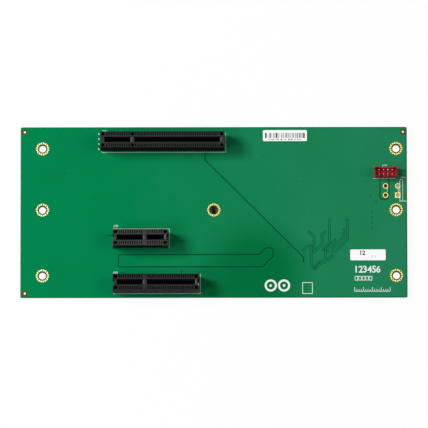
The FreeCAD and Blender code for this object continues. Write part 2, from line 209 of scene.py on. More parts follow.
def relief(height, depth, strength):
    """The surface's direction where fine relief of a stated depth tilts it."""
    bumps = {"Height": height, "Distance": depth, "Strength": strength}
    return height.node("ShaderNodeBump", inputs=bumps)


def finish(tree, **values):
    """The one shader of a finish, fed by values or wires that are named as its sockets are."""
    inputs = {name.replace("_", " "): value for name, value in values.items()}
    shader = tree.node("ShaderNodeBsdfPrincipled", inputs=inputs)
    tree.node("ShaderNodeOutputMaterial", inputs={"Surface": shader})


print("words:", [word.__name__ for word in (begin, axis_of, grain, mix, relief, finish)])

# %% [markdown]
# ## The solder mask
# The board is woven glass in resin, covered with copper and then with a green lacquer, the solder mask.
# Where there is copper beneath, the green is bright. A strip along the outline has none, and looks
# darker. The green also turns greyer towards the right end, a painted reflection of a lamp, and a
# patch in the lower middle, right of the lower sockets, is darker, a painted shade. The sawn edges
# show the bare laminate in layers. Faces and edges could have a material each. Here one material
# does it all, because the direction of a face tells edge from mask, and the distance from the outline
# tells copper from bare glass.

# %% The green, plain and with a painted reflection
# The plain green, and a greyer green towards the right end that is a painted reflection of a lamp.
MASK_PLAIN_GREEN = (colour(0, 122, 71), colour(0, 130, 77))
MASK_WITH_PAINTED_SHEEN = (colour(35, 123, 85), colour(42, 131, 91))
# A darker green for a patch of painted shade in the lower middle, right of the lower sockets.
MASK_IN_PAINTED_SHADE = (colour(0, 105, 56), colour(0, 112, 61))
CLOUD_SIZE = 28 * MM
CLOUD_SHARE = 0.2
SHEEN_FROM = 0.3
SHEEN_TO = 1.05
SHADE_PATCH_CENTRE = Vector((16, -28, BOARD_TOP / MM)) * MM
SHADE_PATCH_REACH = 32 * MM
SHADE_PATCH_CORE = 0.3 * SHADE_PATCH_REACH


def mask_green(place):
    """The green of the mask over copper, greyer towards the right end as a painted reflection of a lamp,
    and darker in a patch in the lower middle as painted shade.
    """
    clouds = grain(place, CLOUD_SIZE)
    # Greyer towards the right end: a painted reflection, mixed with random clouds of tone.
    along = (axis_of(place, "X") - board_low.x) * (1 / (board_high.x - board_low.x))
    span = {0: along * (1 - CLOUD_SHARE) + clouds * CLOUD_SHARE, 1: SHEEN_FROM, 2: SHEEN_TO}
    sheen = place.node("ShaderNodeMapRange", inputs=span)
    green = mix(sheen, mix(clouds, *MASK_PLAIN_GREEN), mix(clouds, *MASK_WITH_PAINTED_SHEEN))
    # A patch of painted shade in the lower middle, fading out with distance from its centre.
    ends = {0: place, 1: SHADE_PATCH_CENTRE}
    away = place.node("ShaderNodeVectorMath", {"operation": "DISTANCE"}, ends, output="Value")
    fade = {0: away, 1: SHADE_PATCH_CORE, 2: SHADE_PATCH_REACH, 3: 1.0, 4: 0.0}
    shade_patch = place.node("ShaderNodeMapRange", {"interpolation_type": "SMOOTHSTEP"}, fade)
    return mix(shade_patch, green, mix(clouds, *MASK_IN_PAINTED_SHADE))


print("the green drifts over", round((board_high.x - board_low.x) / MM), "mm")

# %% Strip, specks and laminate
EDGE_STRIP = 0.7 * MM
SPECK_SPACING = 3.4 * MM
SPECK_RADIUS = 0.16 * MM
SPECK_SHARE = 0.2
SPECK_STRENGTH = 0.35
LAMINATE_TONES = (colour(80, 116, 78), colour(112, 136, 94))
LAYER_PITCH = 0.2 * MM
LAYER_SHARE = 0.6
FIBRE_SIZE = 0.3 * MM


def beyond(place, axis, low, high, margin):
    """1 where a place is within a margin of either end of a span, and 0 between."""
    middle = (low + high) / 2
    return abs(axis_of(place, axis) - middle) > (high - low) / 2 - margin


def edge_strip(place):
    """1 in the strip along the outline that has no copper."""
    strip = beyond(place, "X", board_low.x, board_high.x, EDGE_STRIP)
    return strip + beyond(place, "Y", board_low.y, board_high.y, EDGE_STRIP) > 0.5


def speck_share(place):
    """How much a speck of dust shows. Only a few cells of a scattered grid have one."""
    cells = {"Vector": place, "Scale": 1 / SPECK_SPACING}
    near = place.node("ShaderNodeTexVoronoi", inputs=cells, output="Distance") * SPECK_SPACING
    luck = axis_of(place.node("ShaderNodeTexVoronoi", inputs=cells, output="Color"), "X")
    return (near < SPECK_RADIUS) * (luck > 1 - SPECK_SHARE) * SPECK_STRENGTH


def stripes(place, direction, pitch):
    """Soft stripes across one axis."""
    settings = {"bands_direction": direction}
    return place.node("ShaderNodeTexWave", settings, {"Vector": place, "Scale": math.pi / 10 / pitch})


def laminate_tone(place):
    """Bare laminate, whose layers of glass show as stripes along a sawn edge."""
    layers = stripes(place, "Z", LAYER_PITCH) * LAYER_SHARE
    return mix(layers + grain(place, FIBRE_SIZE) * (1 - LAYER_SHARE), *LAMINATE_TONES)


print("a sawn edge shows", round((BOARD_TOP - BOARD_BOTTOM) / LAYER_PITCH), "layers of glass")

# %% Green mask over woven glass
MASK_OVER_GLASS = colour(8, 100, 60)
STRIP_SHARE = 0.3
SPECK_TONE = colour(150, 175, 140)
WEAVE_PITCH = 0.42 * MM
RIPPLE_SIZE = 0.12 * MM
SMEAR_SIZE = 0.5 * MM
SMEAR = 0.12
EDGE_ROUGHER = 0.3
MASK_ROUGHNESS = 0.34
MASK_GLOSS = 0.02
MASK_RELIEF = 0.004 * MM


def make_mask():
    """The mask on the board's faces, with bare laminate on its sawn edges."""
    material, tree, place = begin("green_solder_mask")
    green = mix(edge_strip(place) * STRIP_SHARE, mask_green(place), MASK_OVER_GLASS)
    green = mix(speck_share(place), green, SPECK_TONE)
    direction = tree.node("ShaderNodeNewGeometry", output="Normal")
    edge = abs(axis_of(direction, "Z")) < 0.5
    weave = stripes(place, "X", WEAVE_PITCH) + stripes(place, "Y", WEAVE_PITCH)
    finish(
        tree,
        Base_Color=mix(edge, green, laminate_tone(place)),
        Roughness=grain(place, SMEAR_SIZE) * SMEAR + edge * EDGE_ROUGHER + MASK_ROUGHNESS,
        Specular_IOR_Level=MASK_GLOSS,
        Normal=relief(weave * 0.5 + grain(place, RIPPLE_SIZE) * 0.5, MASK_RELIEF, strength=0.5),
    )
    return material


mask = make_mask()
print(mask.name, "has", len(mask.node_tree.nodes), "nodes")

# %% [markdown]
# ## Films on the board
# Several things on a board are thinner than a hair: gaps in the copper that show dark through the mask,
# bare laminate where the mask is left open, and white epoxy ink. They could be drawn inside the mask's
# material, but each would need a pattern of its own there. As thin pieces they stay sharp from close
# by. They share one recipe, a colour that wanders a little, and differ in how glossy they are.

# %% Mask over a gap, bare laminate and white ink
CLOSE_DETAIL = 3.0
FILM_UNEVEN = 0.16
FILM_GRAIN = 0.1 * MM
FILM_RELIEF = 0.003 * MM


def make_film(name, first, second, patch, roughness, level):
    """A thin film whose colour wanders between two tones in patches of the given size."""
    material, tree, place = begin(name)
    finish(
        tree,
        Base_Color=mix(grain(place, patch, CLOSE_DETAIL), first, second),
        Roughness=grain(place, patch / 3) * FILM_UNEVEN + roughness,
        Specular_IOR_Level=level,
        Normal=relief(grain(place, FILM_GRAIN), FILM_RELIEF, strength=0.6),
    )
    return material


LACQUER = {"roughness": MASK_ROUGHNESS, "level": MASK_GLOSS}
gap_mask = make_film(
    "mask_over_a_copper_gap", colour(4, 52, 42), colour(14, 64, 50), patch=2 * MM, **LACQUER
)
faint_gap_mask = make_film(
    "mask_over_a_narrow_gap", colour(10, 84, 56), colour(18, 90, 62), patch=1 * MM, **LACQUER
)
trace_mask = make_film(
    "mask_over_a_trace", colour(18, 122, 80), colour(26, 126, 86), patch=3 * MM, **LACQUER
)
buried_mask = make_film(
    "mask_over_a_buried_mark", colour(6, 112, 72), colour(10, 106, 70),
    patch=1 * MM, roughness=0.36, level=MASK_GLOSS,
)
bare_laminate = make_film(
    "bare_laminate", colour(52, 52, 36), colour(74, 71, 49), patch=0.4 * MM, roughness=0.55, level=0.2
)
white_ink = make_film(
    "white_epoxy_ink", colour(230, 236, 232), colour(246, 248, 246),
    patch=0.6 * MM, roughness=0.5, level=0.15,
)
films = (gap_mask, faint_gap_mask, trace_mask, buried_mask, bare_laminate, white_ink)
print("films:", [film.name for film in films])

# %% [markdown]
# ## Making pieces
# Each new piece starts as a bmesh, which holds vertices, edges and faces while operators shape it. Edit
# mode has the same operators, but there they work on what is selected, and a bmesh is told what to work
# on. When it is done it becomes an object at the origin, with its place in its mesh, so that patterns
# don't slide. It gets its finish, and it rides on the card. The card has no moving parts, so every
# piece rides on the one body, root.

# %% From a bmesh to a piece
SMOOTH_BELOW = math.radians(40)
scene = bpy.context.scene


def new_piece(name, bm, material, replaced=(), smooth=False):
    """Turns a bmesh into a finished piece of the card, in one finish or in a list of them."""
    mesh = bpy.data.meshes.new(name)
    bm.to_mesh(mesh)
    bm.free()
    for one in material if isinstance(material, list) else [material]:
        mesh.materials.append(one)
    if smooth:
        mesh.shade_smooth()
        mesh.set_sharp_from_angle(angle=SMOOTH_BELOW)
    piece = bpy.data.objects.new(name, mesh)
    scene.collection.objects.link(piece)
    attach(piece, "root")
    if replaced:
        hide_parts(*replaced)
    print(f"{name}: {len(mesh.polygons)} faces")
    return piece


print("a smooth piece keeps edges over", round(math.degrees(SMOOTH_BELOW)), "degrees sharp")

# %% [markdown]
# ## The board
# The outline is milled, and the cutter leaves its four corners a little round. The screw holes are
# lightly countersunk, so that no burr lifts a screw's head. The board's solid has the holes but square
# corners and plain rims. It could be drawn anew, but a copy of the solid can't miss a hole. So the copy
# is merged, its flat triangles are dissolved into whole faces, and two bevels do the rest: a round one
# on the upright edges at the corners, and a flat one on the rims, which shows bare laminate.

# %% A merged copy and a bevel
MERGE = 0.001 * MM
FLAT = math.radians(1)
nodes = frame["nodes"]


def merged_copy(node):
    """A copy of a solid whose loose triangles are joined into whole faces."""
    bm = bmesh.new()
    bm.from_mesh(nodes[node].data)
    bmesh.ops.remove_doubles(bm, verts=bm.verts, dist=MERGE)
    bmesh.ops.dissolve_limit(bm, angle_limit=FLAT, verts=bm.verts, edges=bm.edges)
    return bm


def bevel(bm, geom, offset, segments, affect="EDGES"):
    """Rounds some edges or corners, or cuts them flat with a single segment."""
    return bmesh.ops.bevel(
        bm, geom=geom, offset=offset, segments=segments, profile=0.5, affect=affect, material=-1
    )


bm = merged_copy("circuit_board")
print(f"{len(nodes['circuit_board'].data.polygons)} triangles of the board became {len(bm.faces)} faces")

# %% Round the board's corners and countersink its holes
BOARD_CORNER = 0.7 * MM
BOARD_CORNER_STEPS = 5
COUNTERSINK = 0.3 * MM
RIM_TOLERANCE = 0.05 * MM


def at_corner(vert):
    """Whether a vertex is at a corner of the board's outline."""
    from_low = [abs(vert.co[axis] - board_low[axis]) for axis in (0, 1)]
    from_high = [abs(vert.co[axis] - board_high[axis]) for axis in (0, 1)]
    return max(map(min, from_low, from_high)) < MERGE


def on_rim(vert):
    """Whether a vertex is on the upper rim of a screw hole."""
    out = min((vert.co.xy - Vector(centre)).length for centre in screw_holes)
    return abs(vert.co.z - BOARD_TOP) < MERGE and out < HOLE_RADIUS + RIM_TOLERANCE


upright = [edge for edge in bm.edges if all(map(at_corner, edge.verts))]
bevel(bm, upright, BOARD_CORNER, BOARD_CORNER_STEPS)
rims = [edge for edge in bm.edges if edge.calc_length() < HOLE_RADIUS and all(map(on_rim, edge.verts))]
for face in bevel(bm, rims, COUNTERSINK, segments=1)["faces"]:
    face.material_index = 1
new_piece("milled_board", bm, [mask, bare_laminate], ["circuit_board"])

# %% [markdown]
# ## Printed and etched lines
# A line on a board has a width and almost no height. A curve with a bevel could draw it, but would
# round its ends and corners. Extruding the route upwards gives a thin upright wall instead, and a
# Solidify modifier with even thickness spreads that wall to both sides, with clean mitres at the
# corners. A route is a list of points in millimetres on the board. A third number on a point rounds the
# corner there, which a vertex bevel does.

# %% Lines
CORNER_STEPS = 5


def join(bm, corners, closed=False):
    """Edges from each corner to the next, and from the last to the first if closed."""
    ends = corners[1:] + corners[:1] if closed else corners[1:]
    return [bm.edges.new(pair) for pair in zip(corners, ends)]


def new_verts(made):
    """The vertices among what an operator says it made."""
    return [item for item in made["geom"] if isinstance(item, bmesh.types.BMVert)]


def add_route(bm, points, closed):
    """The edges of one route on the board's upper face."""
    corners = [bm.verts.new((point[0] * MM, point[1] * MM, BOARD_TOP)) for point in points]
    join(bm, corners, closed)
    for corner, point in zip(corners, points):
        if len(point) == 3:
            bevel(bm, [corner], point[2] * MM, CORNER_STEPS, affect="VERTICES")


def line_piece(name, routes, width, height, material, slot, closed=False):
    """A piece made of flat lines of one width, which follow some routes."""
    bm = bmesh.new()
    for points in routes:
        add_route(bm, points, closed)
    raised = bmesh.ops.extrude_edge_only(bm, edges=bm.edges[:])
    bmesh.ops.translate(bm, verts=new_verts(raised), vec=(0, 0, height))
    bmesh.ops.recalc_face_normals(bm, faces=bm.faces)
    piece = new_piece(name, bm, material)
    thicken = piece.modifiers.new("width", "SOLIDIFY")
    thicken.thickness = width
    thicken.offset = 0.0
    thicken.use_even_offset = True


print("a rounded corner of a line has", CORNER_STEPS, "steps")

# %% [markdown]
# ## Dots
# Plated holes, windows and ink dots are low round discs. A flat circle could show them, but it would
# have no side and no back. A cone with a slightly narrower top is closed, and its slope catches a
# little light.

# %% Low discs
DOT_TAPER = 0.92
DOT_STEPS = 16


def add_dot(bm, x, y, radius, base, height, segments=DOT_STEPS):
    """A low disc with a slightly narrower top."""
    place = Matrix.Translation((x, y, base + height / 2))
    bmesh.ops.create_cone(
        bm, cap_ends=True, segments=segments, radius1=radius, radius2=radius * DOT_TAPER,
        depth=height, matrix=place,
    )


def dot_piece(name, places, radius, height, material):
    """A piece made of equal dots on the board's upper face, at places in millimetres."""
    bm = bmesh.new()
    for x, y in places:
        add_dot(bm, x * MM, y * MM, radius, BOARD_TOP, height)
    new_piece(name, bm, material, smooth=True)


print("a dot narrows by", round(100 - 100 * DOT_TAPER), "percent")

# %% [markdown]
# ## Metals
# Pads are thin gold over nickel and copper, springs are bronze, pins are tinned and solder is a soft
# grey alloy that cools with a slightly uneven skin. A metal shows what is around it, so one even
# roughness would look like a mirror or like paint. Each therefore has a fine grain for sparkle and a
# coarse one for handling marks. The gold is paler towards the left end of the card, a painted
# reflection of the left lamp.

# %% A metal with a skin
# Where the painted reflection of the left lamp makes a metal paler.
PAINTED_REFLECTION_FROM = -70 * MM
PAINTED_REFLECTION_TO = -20 * MM
PATCH_TO_SKIN = 6
SPARKLE = 0.18
HANDLING = 0.1


def make_metal(name, first, second, roughness, skin, depth, pale=None):
    """A metal between two tones, with grain of the size of its skin, and paler at the left end if asked, a
    painted reflection.
    """
    material, tree, place = begin(name)
    patches = grain(place, PATCH_TO_SKIN * skin, CLOSE_DETAIL)
    tone = mix(patches, first, second)
    # A paler tone towards the left end: painted reflection.
    if pale:
        span = {0: axis_of(place, "X"), 1: PAINTED_REFLECTION_FROM, 2: PAINTED_REFLECTION_TO, 3: 1.0, 4: 0.0}
        tone = mix(tree.node("ShaderNodeMapRange", inputs=span), tone, pale)
    finish(
        tree,
        Base_Color=tone,
        Metallic=1.0,
        Roughness=grain(place, skin) * SPARKLE + patches * HANDLING + roughness,
        Normal=relief(grain(place, skin), depth, strength=0.6),
    )
    return material


print("gold pales from", round(PAINTED_REFLECTION_TO / MM), "to", round(PAINTED_REFLECTION_FROM / MM), "mm along the card")

# %% Gold, bronze, tin and solder
# The gold's pale tone at the left end is a painted reflection of the left lamp.
gold = make_metal(
    "gold_over_nickel", colour(230, 204, 104), colour(248, 226, 144),
    roughness=0.24, skin=0.12 * MM, depth=0.006 * MM, pale=colour(242, 232, 168),
)
copper = make_metal(
    "tarnished_copper", colour(92, 58, 32), colour(124, 82, 46),
    roughness=0.38, skin=0.08 * MM, depth=0.004 * MM,
)
# The bronze is far darker than bare bronze: painted shade of the slots that the springs stand in.
bronze = make_metal(
    "bronze_darkened_as_painted_shade", colour(40, 33, 28), colour(58, 47, 38),
    roughness=0.46, skin=0.15 * MM, depth=0.004 * MM,
)
tin = make_metal(
    "tinned_pin", colour(172, 172, 171), colour(200, 200, 198),
    roughness=0.24, skin=0.1 * MM, depth=0.004 * MM,
)
solder = make_metal(
    "cooled_solder", colour(196, 198, 200), colour(222, 223, 224),
    roughness=0.18, skin=0.25 * MM, depth=0.02 * MM,
)
# A grey solder for the fills of the right pair of power holes, which stand in for shade under the card.
dull_solder = make_metal(
    "dull_solder", colour(140, 142, 146), colour(164, 166, 170),
    roughness=0.36, skin=0.2 * MM, depth=0.02 * MM,
)
print("metals:", [metal.name for metal in (gold, copper, bronze, tin, solder, dull_solder)])

# %% [markdown]
# ## Gold round the screw holes
# Each screw hole is bare, and round it stands a ring of eight gold pads, which meet in narrow necks.
# Screw heads press on this ring to ground the card. The whole outline could be extruded as one face,
# but it is long to write. A pad is a disc whose two halves are pulled apart, so it becomes an oblong,
# and a thin ring through all eight makes the necks. One such ring is made at the origin and copied to
# every hole, above and below, because the plated holes join both faces.

# %% A pad and a ring
OBLONG_STEPS = 18
RING_STEPS = 32


def add_oblong(bm, length, width, height):
    """A flat pad with round ends, lying along Y at the origin."""
    made = bmesh.ops.create_cone(
        bm, cap_ends=True, segments=OBLONG_STEPS, radius1=width / 2, radius2=width / 2 - height / 2,
        depth=height,
    )
    halves = [[v for v in made["verts"] if v.co.y * side > 0] for side in (1, -1)]
    for side, half in zip((1, -1), halves):
        bmesh.ops.translate(bm, verts=half, vec=(0, side * (length - width) / 2, 0))
    bmesh.ops.translate(bm, verts=made["verts"], vec=(0, 0, height / 2))
    return made["verts"]


def spin_section(bm, section, steps, closed=False):
    """Turns a section of radii and heights once round the upright axis."""
    corners = [bm.verts.new((radius, 0, height)) for radius, height in section]
    edges = join(bm, corners, closed)
    bmesh.ops.spin(
        bm, geom=corners + edges, axis=(0, 0, 1), cent=(0, 0, 0), angle=math.tau, steps=steps,
        use_merge=True,
    )


def add_ring(bm, inner, outer, low, high, steps=RING_STEPS):
    """A flat ring about the origin."""
    spin_section(bm, [(inner, low), (outer, low), (outer, high), (inner, high)], steps, closed=True)


print("a pad's outline has", OBLONG_STEPS, "corners, and a ring's has", RING_STEPS)

# %% Rings of oblong pads
PAD_COUNT = 8
PAD_LENGTH = 1.65 * MM
PAD_WIDTH = 0.85 * MM
PAD_GAP = 0.5 * MM
PAD_RADIUS = HOLE_RADIUS + PAD_GAP + PAD_WIDTH / 2
NECK_WIDTH = 0.3 * MM
NECK_RISE = 0.8
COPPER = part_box("mounting_pads")[1].z - BOARD_TOP


def make_pad_ring():
    """One ring of pads at the origin, on a face at height zero."""
    bm = bmesh.new()
    for number in range(PAD_COUNT):
        verts = add_oblong(bm, PAD_LENGTH, PAD_WIDTH, COPPER)
        bmesh.ops.translate(bm, verts=verts, vec=(PAD_RADIUS, 0, 0))
        turn = Matrix.Rotation(math.tau * number / PAD_COUNT, 3, "Z")
        bmesh.ops.rotate(bm, verts=verts, cent=(0, 0, 0), matrix=turn)
    add_ring(bm, PAD_RADIUS - NECK_WIDTH / 2, PAD_RADIUS + NECK_WIDTH / 2, 0.0, COPPER * NECK_RISE)
    bmesh.ops.recalc_face_normals(bm, faces=bm.faces)
    return bm


def copies_at(source, places, flip=False):
    """One bmesh that holds a copy of another at each place, upside down if asked."""
    bm = bmesh.new()
    shape = bpy.data.meshes.new("shape")
    source.to_mesh(shape)
    source.free()
    turn = Matrix.Rotation(math.pi, 4, "X") if flip else Matrix.Identity(4)
    for place in places:
        before = len(bm.verts)
        bm.from_mesh(shape)
        bm.verts.ensure_lookup_table()
        bmesh.ops.transform(bm, matrix=Matrix.Translation(place) @ turn, verts=bm.verts[before:])
    bpy.data.meshes.remove(shape)
    return bm


upper_places = [(x, y, BOARD_TOP) for x, y in screw_holes]
lower_places = [(x, y, BOARD_BOTTOM) for x, y in screw_holes]
new_piece("screw_pads", copies_at(make_pad_ring(), upper_places), gold, ["mounting_pads"])
lower_pads = copies_at(make_pad_ring(), lower_places, flip=True)
new_piece("screw_pads_underside", lower_pads, gold)

# %% [markdown]
# ## Filled holes and bare rims
# Every pad has a small plated hole in its middle, filled and a little darker. Between pads and screw
# hole a narrow ring of the board is free of mask. Both could be patterns in a material, which would
# have to know where each hole is. Discs and rings, made once and copied as the pads are, fall into the
# right place.

# %% The filled holes in the pads, and the bare ring at each hole
VIA_RADIUS = 0.33 * MM
VIA_RISE = 0.008 * MM
VIA_STEPS = 12
RIM_RISE = 0.006 * MM
RIM_STEPS = 40


def make_pad_vias():
    """The filled holes of one ring of pads, at the origin."""
    bm = bmesh.new()
    for number in range(PAD_COUNT):
        angle = math.tau * number / PAD_COUNT
        x, y = PAD_RADIUS * math.cos(angle), PAD_RADIUS * math.sin(angle)
        add_dot(bm, x, y, VIA_RADIUS, COPPER, VIA_RISE, VIA_STEPS)
    return bm


def make_bare_ring():
    """The ring without mask at one screw hole, at the origin."""
    bm = bmesh.new()
    add_ring(bm, HOLE_RADIUS + COUNTERSINK, HOLE_RADIUS + PAD_GAP, 0.0, RIM_RISE, RIM_STEPS)
    bmesh.ops.recalc_face_normals(bm, faces=bm.faces)
    return bm


new_piece("screw_pad_vias", copies_at(make_pad_vias(), upper_places), copper)
lower_vias = copies_at(make_pad_vias(), lower_places, flip=True)
new_piece("screw_pad_vias_underside", lower_vias, copper)
new_piece("screw_hole_rims", copies_at(make_bare_ring(), upper_places), bare_laminate)

# %% [markdown]
# ## Sighting marks
# Assembly machines find the board by small gold dots, each in a round window in the mask, where the
# bare laminate shows dark. Three corners have one. A window could be cut into the board, but the mask
# is only a film, so its depth can't be seen, and a dark disc with a gold one on it is enough.

# %% Gold dots in dark windows
SIGHTS = [(-88.1, 36.6), (83.2, 36.6), (-87.9, -37.0)]
SIGHT_WINDOW = 1.4 * MM
SIGHT_DOT = 0.52 * MM
FILM = 0.012 * MM
dot_piece("sight_windows", SIGHTS, SIGHT_WINDOW, FILM, bare_laminate)
dot_piece("sight_dots", SIGHTS, SIGHT_DOT, 3 * FILM, gold)

# %% [markdown]
# ## Plated power holes
# Four holes wait for a power socket. Each is plated through, so a pad on top, a barrel in the hole and
# a pad below are one piece of metal, like an eyelet. The pads are gold and the barrels have tarnished
# brown. The solids have only the upper pads. A tube could be cut from two cylinders, but a ring that is
# spun from its section is clean at once. One pad is square to mark its pin, and keeps its solid's shape.

# %% Rings of gold and brown barrels
power_pads = [f"power_pad_{number}" for number in range(1, 5)]
POWER_RADIUS = mounts["power_holes"]["dims"]["hole_r_mm"] * MM
PLATING = 0.03 * MM


def middle_of(node):
    """The place of a solid's middle on the board, at height zero."""
    low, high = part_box(node)
    return Vector(((low.x + high.x) / 2, (low.y + high.y) / 2, 0))


def make_power_pads(node):
    """The pads that stand for one solid pad, above and below the board."""
    low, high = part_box(node)
    outer = (high.x - low.x) / 2
    square = node == power_pads[-1]
    bm = bmesh.new()
    add_ring(bm, POWER_RADIUS, outer, BOARD_BOTTOM - COPPER, BOARD_BOTTOM)
    if not square:
        add_ring(bm, POWER_RADIUS, outer, BOARD_TOP, high.z)
    bmesh.ops.recalc_face_normals(bm, faces=bm.faces)
    bmesh.ops.translate(bm, verts=bm.verts, vec=middle_of(node))
    if square:
        bm.from_mesh(nodes[node].data)
    return bm


barrel = bmesh.new()
add_ring(barrel, POWER_RADIUS - PLATING, POWER_RADIUS, BOARD_BOTTOM - COPPER, BOARD_TOP + COPPER)
bmesh.ops.recalc_face_normals(barrel, faces=barrel.faces)
barrels = copies_at(barrel, map(middle_of, power_pads))
new_piece("power_barrels", barrels, copper, smooth=True)
for node in power_pads:
    new_piece(node.replace("pad", "eyelet"), make_power_pads(node), gold, [node])

# %% [markdown]
# ## Resin and solder in the power holes
# None of the four holes lets light through: the two on the left are plugged with dark resin and the
# others hold grey solder, and both stand in for the shade under the card seen through the holes. A
# filling's top is slightly hollow, which could be spun, but it lies deep in a barrel less than two
# millimetres wide. So each is a plain disc as wide as the barrel that stops half way up.

# %% Two plugs and two fills
FILL_STEPS = 24
# Dark plugs and grey fills: painted shade of the floor under the card, as seen through the holes.
FILLINGS = {
    "power_hole_shade_plugs": (power_pads[:2], 0.9 * MM, bare_laminate, "green_board"),
    "power_hole_shade_fills": (power_pads[2:], 0.8 * MM, dull_solder, "solder"),
}
for name, (pads, height, material, slot) in FILLINGS.items():
    bm = bmesh.new()
    for node in pads:
        add_dot(bm, *middle_of(node).xy, POWER_RADIUS - PLATING, BOARD_BOTTOM, height, FILL_STEPS)
    new_piece(name, bm, material)

# %% [markdown]
# ## Gaps in the copper
# The upper face is one sheet of copper under the mask. Where a signal or a supply has to be kept apart,
# a narrow gap is etched round it, and the mask looks dark there. One gap makes a long loop between the
# two lower sockets, one runs slantwise from the long socket, and one surrounds the pair of power holes.
# Real grooves would split the board's face into many, for a depth that the mask hides. So each gap is a
# thin dark line on the face.

# %% Wide gaps
LOOP = [
    (-45.68, -24.95, 1.0), (19.5, -24.95), (24.3, -20.15), (24.3, -16.4, 1.0), (21.0, -16.4),
    (18.05, -19.35), (-45.68, -19.35, 1.0),
]
SLANT = [(-6.4, 28.2), (-6.4, 23.8), (38.0, -20.6), (38.0, -22.5)]
POWER_GAP = [(72.7, 17.0), (72.7, 5.75, 1.2), (76.75, 5.75, 1.2), (76.75, 17.0)]
STUBS = [
    [(-50.0, -10.6), (-47.0, -10.6)],
    [(-34.8, -27.1), (-34.8, -30.0)],
    [(-29.5, -27.3), (-29.5, -30.0)],
    [(-17.1, -26.4), (-17.1, -30.0)],
    [(-44.7, -27.5), (-43.1, -27.5), (-41.6, -29.0)],
]
GAPS = {
    "loop_gap": {"routes": [LOOP], "width": 0.46 * MM, "closed": True},
    "power_gap": {"routes": [POWER_GAP], "width": 0.4 * MM},
    "slant_gap": {"routes": [SLANT], "width": 0.4 * MM},
    "stub_gaps": {"routes": STUBS, "width": 0.26 * MM},
}
for name, gap in GAPS.items():
    line_piece(name, height=FILM, material=gap_mask, slot="green_board", **gap)

# %% [markdown]
# ## A group of traces
# Low on the right, a bundle of traces links some plated holes. A trace is copper too, so it is as green
# as the rest, and only the gaps on its two sides show. Each gap could be a line of its own beside the
# trace, but its corners would have to be worked out. A wide dark ribbon with a narrower green one a
# little above it gives the same double line from one route.

# %% Traces with their gaps
TRACES = [
    [(40.2, -8.8), (42.8, -11.4), (42.8, -18.7)],
    [(48.0, -8.8), (46.5, -10.3), (46.5, -14.6), (44.2, -16.9), (44.2, -17.6)],
    [(49.8, -3.2), (49.8, -14.0), (47.0, -16.8), (47.0, -17.6)],
    [(52.6, -12.6), (47.9, -17.3), (47.9, -21.8), (47.0, -22.7), (45.2, -22.7), (42.6, -25.3)],
    [(57.3, -3.4), (58.0, -4.1), (58.0, -12.4), (52.5, -17.9), (48.5, -17.9)],
    [(56.3, -7.8), (56.3, -11.3), (51.0, -16.6)],
    [(51.2, -19.6), (47.9, -22.9), (45.6, -23.6), (44.5, -24.7), (43.4, -26.0)],
    [(41.5, -15.2), (41.5, -24.8), (43.0, -26.0)],
    [(37.8, -17.5), (40.0, -15.3), (41.5, -15.2)],
]
TRACE_WIDTH = 0.66 * MM
TRACE_WITH_GAPS = 1.2 * MM
line_piece("trace_gaps", TRACES, TRACE_WITH_GAPS, 0.5 * FILM, faint_gap_mask, "green_board")
line_piece("traces", TRACES, TRACE_WIDTH, FILM, trace_mask, "green_board")

# %% [markdown]
# ## Plated holes under the mask
# Small plated holes take signals through the board. The mask covers most of them, so they are only
# faint dots. The ends of the traces have darker ones. Real holes would add thousands of faces that
# nobody could see under the mask, so each is a low disc. A few more are scattered where inner layers
# need them, and a fixed seed keeps their places the same in each run.

# %% Dark dots
DARK_VIA = 0.25 * MM
LONE_VIAS = [(41.1, -6.6), (38.0, -22.8), (-50.2, -10.6), (49.9, -14.6), (66.1, 13.9), (68.4, 7.4)]
trace_ends = sorted({end[:2] for trace in TRACES for end in (trace[0], trace[-1])})
dot_piece("dark_vias", trace_ends + LONE_VIAS, DARK_VIA, 1.6 * FILM, gap_mask)

# %% Faint dots and dashes
FAINT_VIA = 0.22 * MM
FAINT_COUNT = 90
FAINT_ALONG = (-84, 80)
FAINT_ACROSS = (-36, 26)
VIA_GRIDS = [
    ((-44.2, -43.2), (-20.2, -21.2, -22.2, -23.2, -24.0)),
    ((21.6, 22.8), (-17.6, -18.8, -20.0)),
    ((44.2, 45.6), (-19.2, -20.0, -21.0)),
]
faint_vias = [(x, y) for columns, rows in VIA_GRIDS for x in columns for y in rows]
dice = random.Random(7)
while len(faint_vias) < FAINT_COUNT:
    faint_vias.append((dice.uniform(*FAINT_ALONG), dice.uniform(*FAINT_ACROSS)))
dot_piece("faint_vias", faint_vias, FAINT_VIA, 0.8 * FILM, buried_mask)

DASH_WIDTH = 0.5 * MM
DASHES = [[(69.1, top), (69.1, top - 1.6)] for top in (0.9, -1.6, -4.1, -6.6)]
DASHES += [[(x, 5.6), (x, 3.9)] for x in (70.0, 71.0)]
line_piece("buried_dashes", DASHES, DASH_WIDTH, 0.6 * FILM, buried_mask, "green_board")

# %% [markdown]
# ## White printing
# White epoxy ink marks where parts go: outlines beside the sockets and the header, the outline of the
# power socket that could be fitted, and pin dots. It is pressed through a screen and stands up a
# little. A picture on the board could show it, but would turn to steps from close by, so it is made
# with the same lines and dots as the gaps.

# %% Outlines and dots of ink
INK = 0.02 * MM
INK_DOT = 0.32 * MM
OUTLINES = [
    [(-53.6, 28.1), (-52.8, 27.38), (2.95, 27.38), (2.95, 36.2)],
    [(-48.2, -7.6), (-22.54, -7.6), (-22.54, -16.6)],
    [(-8.6, -28.2), (-8.6, -37.08), (-48.0, -37.08)],
    [(69.7, 15.3), (79.9, 15.3)],
    [(83.0, 14.7), (83.0, 4.9)],
]
POWER_OUTLINE = [(82.6, 14.9), (81.7, 14.9, 0.8), (81.7, 4.9), (84.8, 4.9)]
PIN_DOTS = [(-54.5, y) for y in (35.8, 33.5, 31.2, 28.9)]


